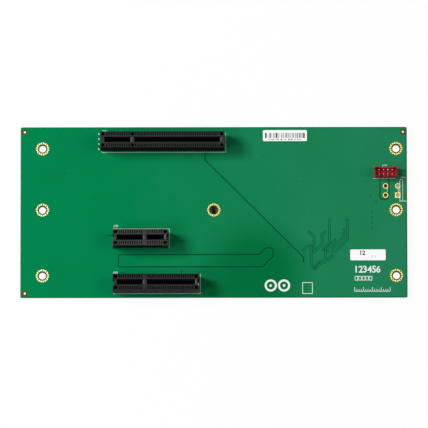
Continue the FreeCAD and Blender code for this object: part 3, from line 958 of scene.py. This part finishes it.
def ink_lines(name, routes, width, closed=False):
    """Lines of white ink on the board."""
    line_piece(name, routes, width, INK, white_ink, "label_paper", closed)


ink_lines("ink_outlines", OUTLINES, width=0.15 * MM)
ink_lines("ink_power_outline", [POWER_OUTLINE], width=0.2 * MM)
dot_piece("ink_pin_dots", PIN_DOTS, INK_DOT, INK, white_ink)

# %% [markdown]
# ## Names and numbers in ink
# Each part has a short name beside it, and a row of numbers counts the board's layers. Letters could be
# drawn as routes, but Blender has a font. A text object is a curve, so it is turned into a mesh. A few
# of its points nearly coincide, which leaves slivers, so they are merged first. Then it is scaled to
# the height of a printed letter and set on the board.

# %% Lettering
FONT_STEPS = 3
SLIVER = 0.002


def add_words(bm, words, left, bottom, height, weight=0.0):
    """Lettering of a given height on the board, as thin solid ink."""
    curve = bpy.data.curves.new("words", "FONT")
    curve.body = words
    curve.extrude = 0.5
    curve.offset = weight
    curve.resolution_u = FONT_STEPS
    text = bpy.data.objects.new("words", curve)
    shape = bpy.data.meshes.new_from_object(text)
    letters = bmesh.new()
    letters.from_mesh(shape)
    bmesh.ops.remove_doubles(letters, verts=letters.verts, dist=SLIVER)
    bmesh.ops.dissolve_degenerate(letters, edges=letters.edges, dist=SLIVER)
    bmesh.ops.recalc_face_normals(letters, faces=letters.faces)
    letters.to_mesh(shape)
    letters.free()
    before = len(bm.verts)
    bm.from_mesh(shape)
    bm.verts.ensure_lookup_table()
    verts = bm.verts[before:]
    low = Vector([min(vert.co[axis] for vert in verts) for axis in range(3)])
    scale = height / (max(vert.co.y for vert in verts) - low.y)
    bmesh.ops.translate(bm, verts=verts, vec=-low)
    bmesh.ops.scale(bm, verts=verts, vec=(scale, scale, INK))
    bmesh.ops.translate(bm, verts=verts, vec=(left, bottom, BOARD_TOP))
    bpy.data.objects.remove(text)
    bpy.data.curves.remove(curve)
    bpy.data.meshes.remove(shape)


print("slivers under", SLIVER, "of a letter's height are merged")

# %% Part names and layer numbers
NAME_WEIGHT = 0.01
PART_NAMES = [
    ("J101", -53.0, 36.4, 1.1), ("J102", -47.8, -6.9, 1.1), ("J103", -48.1, -28.2, 1.1),
    ("J104", 73.8, 20.6, 1.1), ("J105", 82.5, 15.1, 1.0),
    ("2", 75.75, 10.1, 0.85), ("1", 75.95, 9.1, 0.85), ("3", 80.7, 10.1, 0.85), ("4", 80.7, 9.1, 0.85),
]
LAYER_WEIGHT = 0.02
LAYER_BOTTOM = -27.7 * MM
LAYER_HEIGHT = 3.1 * MM
LAYER_LEFTS = (61.5, 62.9, 64.9, 66.8, 69.0, 70.9)

bm = bmesh.new()
for words, left, bottom, height in PART_NAMES:
    add_words(bm, words, left * MM, bottom * MM, height * MM, NAME_WEIGHT)
new_piece("ink_part_names", bm, white_ink)

bm = bmesh.new()
for number, left in enumerate(LAYER_LEFTS, start=1):
    add_words(bm, str(number), left * MM, LAYER_BOTTOM, LAYER_HEIGHT, LAYER_WEIGHT)
new_piece("ink_layer_numbers", bm, white_ink)

# %% [markdown]
# ## Targets, boxes and a scale
# Two plain target rings, a small frame, a row of tick boxes and a scale fill the printed places in the
# lower right. They could be drawn point by point, but circles, boxes and marks follow rules. So short
# functions work out their routes, and the ink lines do the rest.

# %% Rings and dots
RING_CENTRES = [(23.2, -33.5), (29.2, -33.5)]
RING_RADIUS = 2.3
TARGET_DOT = 0.6 * MM
CIRCLE_STEPS = 40


def circle_route(x, y):
    """The points of a target ring, for a closed line."""
    turns = [math.tau * step / CIRCLE_STEPS for step in range(CIRCLE_STEPS)]
    return [(x + RING_RADIUS * math.cos(turn), y + RING_RADIUS * math.sin(turn)) for turn in turns]


rings = [circle_route(x, y) for x, y in RING_CENTRES]
ink_lines("ink_target_rings", rings, width=0.9 * MM, closed=True)
dot_piece("ink_target_dots", RING_CENTRES, TARGET_DOT, INK, white_ink)

# %% Boxes and a scale
FRAME = {"left": 37.6, "bottom": -37.2, "width": 4.4, "height": 5.0}
TICK_BOX = {"bottom": -31.1, "width": 1.2, "height": 1.7}
TICK_LEFTS = [61.3 + 1.6 * number for number in range(5)]
SCALE_LEFT = 61.1
SCALE_LENGTH = 16
SCALE_FOOT = -36.2
LONG_TOP = -34.3
LONG_EVERY = 4
SHORT_TOP = -35.2


def box_route(left, bottom, width, height):
    """The corners of a box, for a closed line."""
    right, top = left + width, bottom + height
    return [(left, bottom), (right, bottom), (right, top), (left, top)]


def scale_mark(number):
    """One upright mark of the scale, long at every fourth step."""
    x = SCALE_LEFT + number
    return [(x, SCALE_FOOT), (x, SHORT_TOP if number % LONG_EVERY else LONG_TOP)]


boxes_of_ink = [box_route(**FRAME)] + [box_route(left, **TICK_BOX) for left in TICK_LEFTS]
ink_lines("ink_boxes", boxes_of_ink, width=0.26 * MM, closed=True)
scale_line = [(SCALE_LEFT, SCALE_FOOT), (SCALE_LEFT + SCALE_LENGTH, SCALE_FOOT)]
ink_lines("ink_scale", [scale_line] + [scale_mark(n) for n in range(SCALE_LENGTH + 1)], width=0.24 * MM)

# %% [markdown]
# ## Moulded plastics
# The sockets are glass-filled polyester. The mould is spark-eroded, which leaves a fine matt grain, and
# the glass fibres show as a faint mottling. The upper faces are grey, the narrow ribs between the
# windows paler, a painted sheen of their round edges, and the outer margins darker. The slopes at the
# ends of the slot are paler too, a painted highlight, and windows, slot and recesses are painted black
# as shade. The walls of the long socket are painted darker as shade, and those of the medium socket
# paler as painted light. So each socket has four finishes, and each of its faces takes one. Ribs and
# margins share the top, so its finish tells them apart by their distance from the socket's middle. The
# small header is red and satin.

# %% Ribs and margins
RIB_BAND = (1.83 * MM, 3.17 * MM)
RIB_MARGIN = 2.5 * MM
KEY_FROM_END = 14.5 * MM
KEY_HALF = 1.3 * MM


def rib_share(place, low, high):
    """1 where a socket has its rows of windows and ribs, and 0 at its ends, at its key and elsewhere."""
    middle = (low + high) / 2
    across = abs(axis_of(place, "Y") - middle.y)
    along = axis_of(place, "X")
    in_rows = (across > RIB_BAND[0]) * (across < RIB_BAND[1])
    off_key = abs(along - (low.x + KEY_FROM_END)) > KEY_HALF
    return in_rows * off_key * (abs(along - middle.x) < (high.x - low.x) / 2 - RIB_MARGIN)


def margin_share(place, low, high):
    """1 along the outer margins of a socket's top, beyond its rows of windows."""
    return abs(axis_of(place, "Y") - (low.y + high.y) / 2) > RIB_BAND[1]


print("ribs lie", [round(edge / MM, 2) for edge in RIB_BAND], "mm from a socket's middle")

# %% Grained plastic
FLOW_SIZE = 2.5 * MM
PIT_SIZE = 0.09 * MM
FLOW_SHARE = 0.6
RIB_LEAST = 0.7
RIB_VARIES = 0.4
PIT_ROUGHER = 0.14
FLOW_ROUGHER = 0.08
MATT = 0.012 * MM
SATIN = 0.006 * MM


def make_plastic(name, first, second, roughness, level, depth=MATT, rows=None):
    """A moulded plastic with a matt grain and faint flow marks, and where it has rows, paler ribs, a
    painted sheen, and darker margins.
    """
    material, tree, place = begin(name)
    flow = grain(place, FLOW_SIZE, CLOSE_DETAIL)
    pits = grain(place, PIT_SIZE)
    tone = mix(flow * FLOW_SHARE + pits * (1 - FLOW_SHARE), first, second)
    if rows:
        low, high, rib_tone, margin_tone = rows
        # Paler ribs are a painted sheen of their round edges, and the outer margins are darker.
        tone = mix(rib_share(place, low, high) * (flow * RIB_VARIES + RIB_LEAST), tone, rib_tone)
        tone = mix(margin_share(place, low, high), tone, margin_tone)
    finish(
        tree,
        Base_Color=tone,
        Roughness=pits * PIT_ROUGHER + flow * FLOW_ROUGHER + roughness,
        Specular_IOR_Level=level,
        Normal=relief(pits, depth, strength=0.7),
    )
    return material


# Windows, slot and recesses are painted black: painted shade.
shaded_hollow_plastic = make_plastic(
    "hollow_painted_shade", colour(8, 9, 9), colour(14, 15, 15), roughness=0.6, level=0.03
)
# The slopes at the ends of the slot are paler: a painted highlight.
slope_highlight_plastic = make_plastic(
    "slope_painted_highlight", colour(64, 67, 69), colour(80, 83, 85), roughness=0.42, level=0.3
)
red_plastic = make_plastic(
    "red_polyester", colour(140, 14, 20), colour(166, 24, 30), roughness=0.34, level=0.15, depth=SATIN
)
print("plastics:", [plastic.name for plastic in (shaded_hollow_plastic, slope_highlight_plastic, red_plastic)])

# %% Finishes of the sockets
SLOTS = ("long_slot", "medium_slot", "short_slot")
TOP_ROUGHNESS = 0.42
WALL_ROUGHNESS = 0.8
# The ribs' paler tones are a painted sheen of their round edges.
SOCKET_TOPS = {
    "long_slot": {
        "name": "black_polyester", "tones": (colour(30, 31, 31), colour(38, 39, 39)), "level": 0.15,
        "ribs": colour(45, 47, 48), "margin": colour(3, 4, 4),
    },
    "medium_slot": {
        "name": "dark_grey_polyester", "tones": (colour(28, 30, 30), colour(37, 39, 39)), "level": 0.12,
        "ribs": colour(37, 39, 39), "margin": colour(9, 11, 11),
    },
    "short_slot": {
        "name": "grey_polyester", "tones": (colour(26, 28, 28), colour(38, 40, 40)), "level": 0.25,
        "ribs": colour(55, 58, 58), "margin": colour(34, 36, 36),
    },
}
# The long socket's walls are painted near black as shade, and the medium socket's paler than its top as
# painted light.
SOCKET_WALLS = {
    "long_slot": ("long_wall_painted_shade", colour(10, 11, 11), colour(18, 19, 19), 0.04),
    "medium_slot": ("medium_wall_painted_light", colour(38, 42, 41), colour(48, 52, 51), 0.06),
    "short_slot": ("grey_wall", colour(32, 35, 34), colour(42, 45, 44), 0.1),
}


def make_socket_finishes(slot):
    """The finishes of one socket, in this order: top, hollow, wall and slope."""
    look = SOCKET_TOPS[slot]
    rows = (*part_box(f"{slot}_housing"), look["ribs"], look["margin"])
    top = make_plastic(look["name"], *look["tones"], TOP_ROUGHNESS, look["level"], rows=rows)
    name, first, second, level = SOCKET_WALLS[slot]
    wall = make_plastic(name, first, second, WALL_ROUGHNESS, level)
    return [top, shaded_hollow_plastic, wall, slope_highlight_plastic]


socket_finishes = {slot: make_socket_finishes(slot) for slot in SLOTS}
for slot, finishes in socket_finishes.items():
    print(f"{slot}: {[plastic.name for plastic in finishes]}")

# %% [markdown]
# ## Socket housings
# A socket's housing is moulded in one shot, with a slot for the card, a key that fits its notch, and a
# window above each spring. A moulded part has no knife edges: its mould is milled, so every edge has a
# small radius. The housing could be modelled anew, but its solid already has every window. So a merged
# copy of the solid gets a narrow bevel along every edge that is not flat, and then stands for the
# solid. Where a face lies and which way it looks tell its finish.

# %% Soften the moulded edges
SHARP = math.radians(20)


def softened(node, radius, segments=2):
    """A merged copy of a solid with its sharp edges rounded."""
    bm = merged_copy(node)
    bevel(bm, [edge for edge in bm.edges if edge.calc_face_angle() > SHARP], radius, segments)
    bm.normal_update()
    return bm


print("edges that turn by over", round(math.degrees(SHARP)), "degrees are rounded")

# %% Sockets in four finishes
TOP, HOLLOW, WALL, SLOPE = range(4)
HOUSING_EDGE = 0.05 * MM
SKIN = 0.04 * MM
END_SKIN = 0.1 * MM
INSIDE = 3.35 * MM
SLOPE_DEPTH = 0.75 * MM
SLOPE_WIDTH = 1.3 * MM
SLOPE_TILT = (0.3, 0.95)
UPRIGHT_TILT = 0.2


def finish_of(face, low, high):
    """The finish of one face of a socket, whose box is given."""
    half = (high - low) / 2
    place = face.calc_center_median() - (low + high) / 2
    depth = half.z - place.z
    tilted = SLOPE_TILT[0] < abs(face.normal.x) < SLOPE_TILT[1]
    if tilted and SKIN < depth < SLOPE_DEPTH and abs(place.y) < SLOPE_WIDTH:
        return SLOPE
    if depth > SKIN and abs(place.y) < INSIDE and abs(place.x) < half.x - END_SKIN:
        return HOLLOW
    return WALL if depth > SKIN and abs(face.normal.z) < UPRIGHT_TILT else TOP


for slot in SLOTS:
    node = f"{slot}_housing"
    bm = softened(node, HOUSING_EDGE)
    low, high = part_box(node)
    for face in bm.faces:
        face.material_index = finish_of(face, low, high)
    counts = [sum(face.material_index == number for face in bm.faces) for number in range(4)]
    print(f"{slot}: faces on top, in hollows, on walls and on slopes {counts}")
    new_piece(f"{slot}_moulding", bm, socket_finishes[slot], [node])

# %% [markdown]
# ## Contact springs
# In each socket two rows of bronze springs lean into the slot and press on the card's gold fingers.
# Their bronze is painted darker than bare bronze, as painted shade of the slot. Each is a stamped
# strip: it rises along the wall, bows into the slot and turns back at the top, and its end shows as a
# small hook, dark with painted shade, in the window above it. A strip could be bent from a box with
# many cuts. Here its side view is a short chain of edges, which is extruded to the strip's width and
# given its thickness, and one spring is copied along the row.

# %% Stamped and bent strips
SPRING_SIDE = [(0.80, 0.0), (0.78, 2.0), (0.56, 4.4), (0.58, 5.0), (0.78, 6.0)]
HOOK_SIDE = [(1.98, -2.2), (1.98, -1.2), (2.08, -1.05), (2.3, -1.15)]
HOOK_SHARE = 0.6
STRIP_THICKNESS = 0.14 * MM


def add_strip(bm, side_view, width):
    """A bent strip across the origin, from its side view in millimetres."""
    chain = [bm.verts.new((-width / 2, y * MM, z * MM)) for y, z in side_view]
    made = bmesh.ops.extrude_edge_only(bm, edges=join(bm, chain))
    faces = [item for item in made["geom"] if isinstance(item, bmesh.types.BMFace)]
    bmesh.ops.translate(bm, verts=new_verts(made), vec=(width, 0, 0))
    bmesh.ops.solidify(bm, geom=faces, thickness=STRIP_THICKNESS)


def contact_centres(node):
    """Where the contacts of a row stand along the card, and how wide they are."""
    edges = sorted({round(vert.co.x, 6) for vert in nodes[node].data.vertices})
    pairs = list(zip(edges[::2], edges[1::2]))
    return [(left + right) / 2 for left, right in pairs], pairs[0][1] - pairs[0][0]


def make_springs(slot, row, side):
    """One row of springs, on the side of the slot that a sign gives."""
    node = f"{slot}_contacts_{row}"
    low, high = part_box(f"{slot}_housing")
    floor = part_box(node)[0].z
    rise = (high.z - floor) / MM
    centres, width = contact_centres(node)
    spring = bmesh.new()
    add_strip(spring, SPRING_SIDE, width)
    add_strip(spring, [(y, z + rise) for y, z in HOOK_SIDE], HOOK_SHARE * width)
    bmesh.ops.scale(spring, verts=spring.verts, vec=(1, side, 1))
    bmesh.ops.recalc_face_normals(spring, faces=spring.faces)
    bm = copies_at(spring, [(x, (low.y + high.y) / 2, floor) for x in centres])
    new_piece(f"{slot}_springs_{row}", bm, bronze, [node])


for slot in SLOTS:
    make_springs(slot, "upper", 1)
    make_springs(slot, "lower", -1)

# %% [markdown]
# ## Solder joints
# Under the board every tail ends in a small cone of solder with hollow flanks, because molten solder
# climbs the tail. A plain cone would be simpler, but the hollow flank is what the light shows of a good
# joint. So half a section is spun about the tail. The tips of the plain solids say where each joint is.

# %% Hollow cones
JOINT_SIDE = [(0.0, 0.0), (0.6, 0.0), (0.56, 0.06), (0.32, 0.24), (0.2, 0.62), (0.16, 1.22), (0.0, 1.36)]
JOINT_STEPS = 10
TIP_REACH = 0.1 * MM


def joint_places(node):
    """The places of a group's joints on the underside, from the tips of their solids."""
    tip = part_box(node)[0].z
    tips = [vert.co for vert in nodes[node].data.vertices if vert.co.z < tip + TIP_REACH]
    return sorted({(round(co.x, 6), round(co.y, 6), BOARD_BOTTOM) for co in tips})


def make_joint():
    """One joint at the origin, hanging from height zero."""
    bm = bmesh.new()
    spin_section(bm, [(radius * MM, -depth * MM) for radius, depth in JOINT_SIDE], JOINT_STEPS)
    bmesh.ops.remove_doubles(bm, verts=bm.verts, dist=MERGE)
    bmesh.ops.recalc_face_normals(bm, faces=bm.faces)
    return bm


for group in (*SLOTS, "header"):
    node = f"{group}_solder_joints"
    bm = copies_at(make_joint(), joint_places(node))
    new_piece(f"{group}_soldering", bm, solder, [node], smooth=True)

# %% [markdown]
# ## The red header
# The header is a small open box of red plastic with eight tinned pins, for the plug of a cable. Pins
# are cut from square wire, so their edges are nearly sharp, and the box is a rounder moulding than the
# sockets are. The solids have all of its slits and ears, so both are softened as the sockets are, each
# by its own radius.

# %% Box and pins
HEADER_EDGE = 0.12 * MM
HEADER_STEPS = 3
PIN_EDGE = 0.04 * MM
bm = softened("header_housing", HEADER_EDGE, HEADER_STEPS)
new_piece("header_moulding", bm, red_plastic, ["header_housing"])
for number in range(1, 9):
    node = f"header_pin_{number}"
    new_piece(f"tinned_pin_{number}", softened(node, PIN_EDGE), tin, [node])

# %% [markdown]
# ## Paper and print
# The labels are coated paper. Paper has faint fibres, and printed ink lies on it with a dry, uneven
# tone. Both are films too, so the recipe of the films on the board gives them, with paler tones and no
# gloss to speak of. Fine print that the eye can't part looks grey, so there are three strengths of it.

# %% Label paper and inks
DRY_INK = {"patch": 0.3 * MM, "roughness": 0.6, "level": 0.2}
paper = make_film(
    "coated_paper", colour(250, 251, 250), colour(254, 254, 253),
    patch=0.8 * MM, roughness=0.5, level=0.25,
)
dark_print = make_film("dark_print", colour(38, 36, 38), colour(62, 58, 62), **DRY_INK)
mid_print = make_film("mid_print", colour(112, 110, 114), colour(140, 138, 142), **DRY_INK)
pale_print = make_film("pale_print", colour(168, 166, 172), colour(194, 192, 198), **DRY_INK)
print("label finishes:", [film.name for film in (paper, dark_print, mid_print, pale_print)])

# %% [markdown]
# ## Labels
# Two labels of coated paper are stuck to the board. They are die-cut, so their corners are round. Their
# solids are plain slabs, so each is made anew in its solid's box: one face gets a vertex bevel at its
# four corners and is then extruded to the paper's thickness.

# %% Rounded paper
LABEL_CORNER = 0.5 * MM
LABEL_STEPS = 6


def make_label(node):
    """A thin sheet with round corners in the box of a label's solid."""
    low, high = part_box(node)
    bm = bmesh.new()
    outline = [(low.x, low.y), (high.x, low.y), (high.x, high.y), (low.x, high.y)]
    corners = [bm.verts.new((x, y, low.z)) for x, y in outline]
    bm.faces.new(corners)
    bevel(bm, corners, LABEL_CORNER, LABEL_STEPS, affect="VERTICES")
    made = bmesh.ops.extrude_face_region(bm, geom=bm.faces[:])
    bmesh.ops.translate(bm, verts=new_verts(made), vec=(0, 0, high.z - low.z))
    bmesh.ops.recalc_face_normals(bm, faces=bm.faces)
    return bm


for node in ("barcode_label", "blank_label"):
    new_piece(f"{node}_paper", make_label(node), paper, [node])

# %% [markdown]
# ## Print on the labels
# One label carries bars between two broad end bars, and a row of short dashes under them. They could be
# a striped pattern, but stripes in a material are all alike. A seeded loop draws the widths, gaps and
# tones, so that they look printed and mean nothing. The other label has plain numbers.

# %% Bars and dashes
PRINT = 0.006 * MM
BARS_FROM = 0.95
BARS_TO = 18.95
END_BAR = 0.75
BAR_INSET = (0.45, 0.7)
BAR_HEIGHT = (1.35, 3.75)
DASH_INSET = (1.5, 1.6)
DASH_HEIGHT = (0.5, 0.95)
PRINTED_ROWS = [
    {
        "from": BARS_FROM + END_BAR + BAR_INSET[0], "to": BARS_TO - END_BAR - BAR_INSET[1],
        "height": BAR_HEIGHT, "tones": ("dark", "mid", "mid", "pale"),
        "widths": (0.25, 0.3, 0.5, 0.7), "gaps": (0.2, 0.25, 0.45),
    },
    {
        "from": BARS_FROM + DASH_INSET[0], "to": BARS_TO - DASH_INSET[1],
        "height": DASH_HEIGHT, "tones": ("dark", "mid", "mid"),
        "widths": (0.35, 0.6, 0.9), "gaps": (0.3, 0.5, 0.8),
    },
]
label_low, label_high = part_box("barcode_label")


def add_bar(bm, left, right, bottom, top):
    """One printed bar, placed from the label's lower left corner in millimetres."""
    centre = Vector(((left + right) / 2 * MM, (bottom + top) / 2 * MM, 0)) + label_low
    size = ((right - left) * MM, (top - bottom) * MM, PRINT, 1)
    matrix = Matrix.Translation((centre.x, centre.y, label_high.z + PRINT / 2)) @ Matrix.Diagonal(size)
    bmesh.ops.create_cube(bm, size=1.0, matrix=matrix)


prints = {"dark": dark_print, "mid": mid_print, "pale": pale_print}
bars = {name: bmesh.new() for name in prints}
for left in (BARS_FROM, BARS_TO - END_BAR):
    add_bar(bars["dark"], left, left + END_BAR, *BAR_HEIGHT)
dice = random.Random(21)
for row in PRINTED_ROWS:
    x = row["from"]
    while x < row["to"]:
        width = dice.choice(row["widths"])
        add_bar(bars[dice.choice(row["tones"])], x, x + width, *row["height"])
        x += width + dice.choice(row["gaps"])
for name, bm in bars.items():
    new_piece(f"label_{name}_bars", bm, prints[name])

# %% Numbers on the second label
LABEL_WORDS = {
    "label_number": {"words": "12", "left": 4.5, "bottom": 2.4, "height": 2.1, "weight": 0.035},
    "label_small_number": {"words": "0 1", "left": 9.6, "bottom": 1.2, "height": 1.2, "weight": 0.0},
}
LABEL_TONES = {"label_number": dark_print, "label_small_number": pale_print}
low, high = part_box("blank_label")
for name, item in LABEL_WORDS.items():
    bm = bmesh.new()
    left, bottom = low.x + item["left"] * MM, low.y + item["bottom"] * MM
    add_words(bm, item["words"], left, bottom, item["height"] * MM, item["weight"])
    bmesh.ops.translate(bm, verts=bm.verts, vec=(0, 0, high.z - BOARD_TOP - INK + PRINT))
    new_piece(name, bm, LABEL_TONES[name])

# %% [markdown]
# ## The floor and the room
# The card lies on a plain white floor. A floor that is only lit would come out grey, and more light on
# it would bleach the card. So a camera, a mirror or a glass that looks at the floor sees it nearly
# white by itself, and only a small share of what it sees is lit by the lamps, so a soft shadow stays.
# Under the middle of the card no light gets in, so there the glow ends, and the hole in mid board looks
# dark. The room is white to the same rays and dimmer to all others, which leaves it to the lamps to
# shape the object.

# %% White floor
SEEING_RAYS = ("Camera", "Glossy", "Transmission")
WHITE = (1.0, 1.0, 1.0, 1.0)
FLOOR_SIZE = 4.0
FLOOR_GLOW = 0.94
SHADE_RADIUS = 30 * MM
FLOOR_TONE = (0.9, 0.9, 0.9, 1.0)
# Under the middle of the card the floor's colour is painted dark: painted shade.
FLOOR_SHADE = (0.2, 0.19, 0.15, 1.0)


def looked_at(tree):
    """1 for rays from the camera, from gloss or through glass, and 0 for light that only fills."""
    rays = [tree.node("ShaderNodeLightPath", output=f"Is {kind} Ray") for kind in SEEING_RAYS]
    return rays[0] + rays[1] + rays[2] > 0.5


def make_floor_finish():
    """A floor that glows to those who look at it, and is plain and shaded to all other light."""
    material, tree, place = begin("white_floor")
    out = place.node("ShaderNodeVectorMath", {"operation": "LENGTH"}, {0: place}, output="Value")
    lit = out > SHADE_RADIUS
    shaded = tree.node("ShaderNodeBsdfDiffuse", inputs={"Color": FLOOR_SHADE})
    pale = tree.node("ShaderNodeBsdfDiffuse", inputs={"Color": FLOOR_TONE})
    plain = tree.node("ShaderNodeMixShader", inputs={0: lit, 1: shaded, 2: pale})
    glow = tree.node("ShaderNodeEmission", inputs={"Color": WHITE, "Strength": 1.0})
    share = looked_at(tree) * FLOOR_GLOW * lit
    surface = tree.node("ShaderNodeMixShader", inputs={0: share, 1: plain, 2: glow})
    tree.node("ShaderNodeOutputMaterial", inputs={"Surface": surface})
    return material


def make_floor():
    """A square of floor under the lowest point of the card."""
    bm = bmesh.new()
    place = Matrix.Translation((0, 0, cad_box[0].z))
    bmesh.ops.create_grid(bm, x_segments=1, y_segments=1, size=FLOOR_SIZE / 2, matrix=place)
    mesh = bpy.data.meshes.new("floor")
    bm.to_mesh(mesh)
    bm.free()
    mesh.materials.append(make_floor_finish())
    floor = bpy.data.objects.new("floor", mesh)
    scene.collection.objects.link(floor)


make_floor()
print("floor at", round(cad_box[0].z / MM, 2), "mm")

# %% White room
AMBIENT = 0.07


def make_room():
    """A room that looks white and fills in with a little light."""
    world = bpy.data.worlds.new("white_room")
    world.use_nodes = True
    world.node_tree.nodes.clear()
    tree = Wire(world.node_tree)
    strength = looked_at(tree) * (1 - AMBIENT) + AMBIENT
    room = tree.node("ShaderNodeBackground", inputs={"Color": WHITE, "Strength": strength})
    tree.node("ShaderNodeOutputWorld", inputs={"Surface": room})
    scene.world = world


make_room()
scene.view_settings.view_transform = "Standard"
print("fill light", AMBIENT)

# %% [markdown]
# ## Lamps
# A board is pictured from above between soft boxes. One lamp straight above would be simpler, but it
# would leave no shadows to show how tall the sockets are. The left one is the strongest, so the sockets
# throw a short soft shadow to the right and a thin one along their lower sides. The other two are
# dimmer. They fill in from the lower left and from the right, and leave faint shadows above the sockets
# and to their left.

# %% Soft boxes
LAMPS = {
    "left_soft_box": {"place": (-0.9, 0.26, 1.0), "size": 0.45, "power": 15.4},
    "lower_left_soft_box": {"place": (-0.72, -0.42, 1.1), "size": 0.4, "power": 4.2},
    "right_soft_box": {"place": (0.84, 0.02, 1.2), "size": 0.55, "power": 5.0},
}
for name, lamp in LAMPS.items():
    light = bpy.data.lights.new(name, "AREA")
    light.size = lamp["size"]
    light.energy = lamp["power"]
    lamp_object = bpy.data.objects.new(name, light)
    lamp_object.location = lamp["place"]
    lamp_object.rotation_euler = Vector(lamp["place"]).to_track_quat("Z", "Y").to_euler()
    scene.collection.objects.link(lamp_object)
    print(name, "at", lamp["place"])

# %% [markdown]
# ## The camera
# The card is seen from far above through a long lens, which leans a little towards the card's lower
# edge, so the front walls of the sockets just show. Turns about three axes could aim it, but they
# depend on their order. So the camera's own axes are built from that lean and two very small turns, and
# it looks at a point near the card's middle.

# %% A long lens from above
CAMERA_DISTANCE = 3.0
CLIP_END = 10.0
LENS = 557.5
SENSOR = 36.0
LEAN = math.radians(7.91)
SIDE_TURN = math.radians(0.117)
ROLL = math.radians(-0.084)
TARGET = Vector((-2.41, -0.64, 0.0)) * MM

backward = Vector((
    math.sin(SIDE_TURN) * math.cos(LEAN),
    -math.sin(LEAN),
    math.cos(LEAN) * math.cos(SIDE_TURN),
)).normalized()
right = Vector((math.cos(ROLL), math.sin(ROLL), 0.0))
right = (right - right.dot(backward) * backward).normalized()
upward = backward.cross(right)
lens = bpy.data.cameras.new("camera")
lens.lens = LENS
lens.sensor_width = SENSOR
lens.clip_end = CLIP_END
camera = bpy.data.objects.new("camera", lens)
axes = Matrix((right, upward, backward)).transposed().to_4x4()
camera.matrix_world = Matrix.Translation(TARGET + CAMERA_DISTANCE * backward) @ axes
scene.collection.objects.link(camera)
scene.camera = camera
print("camera at", [round(value, 3) for value in camera.location])
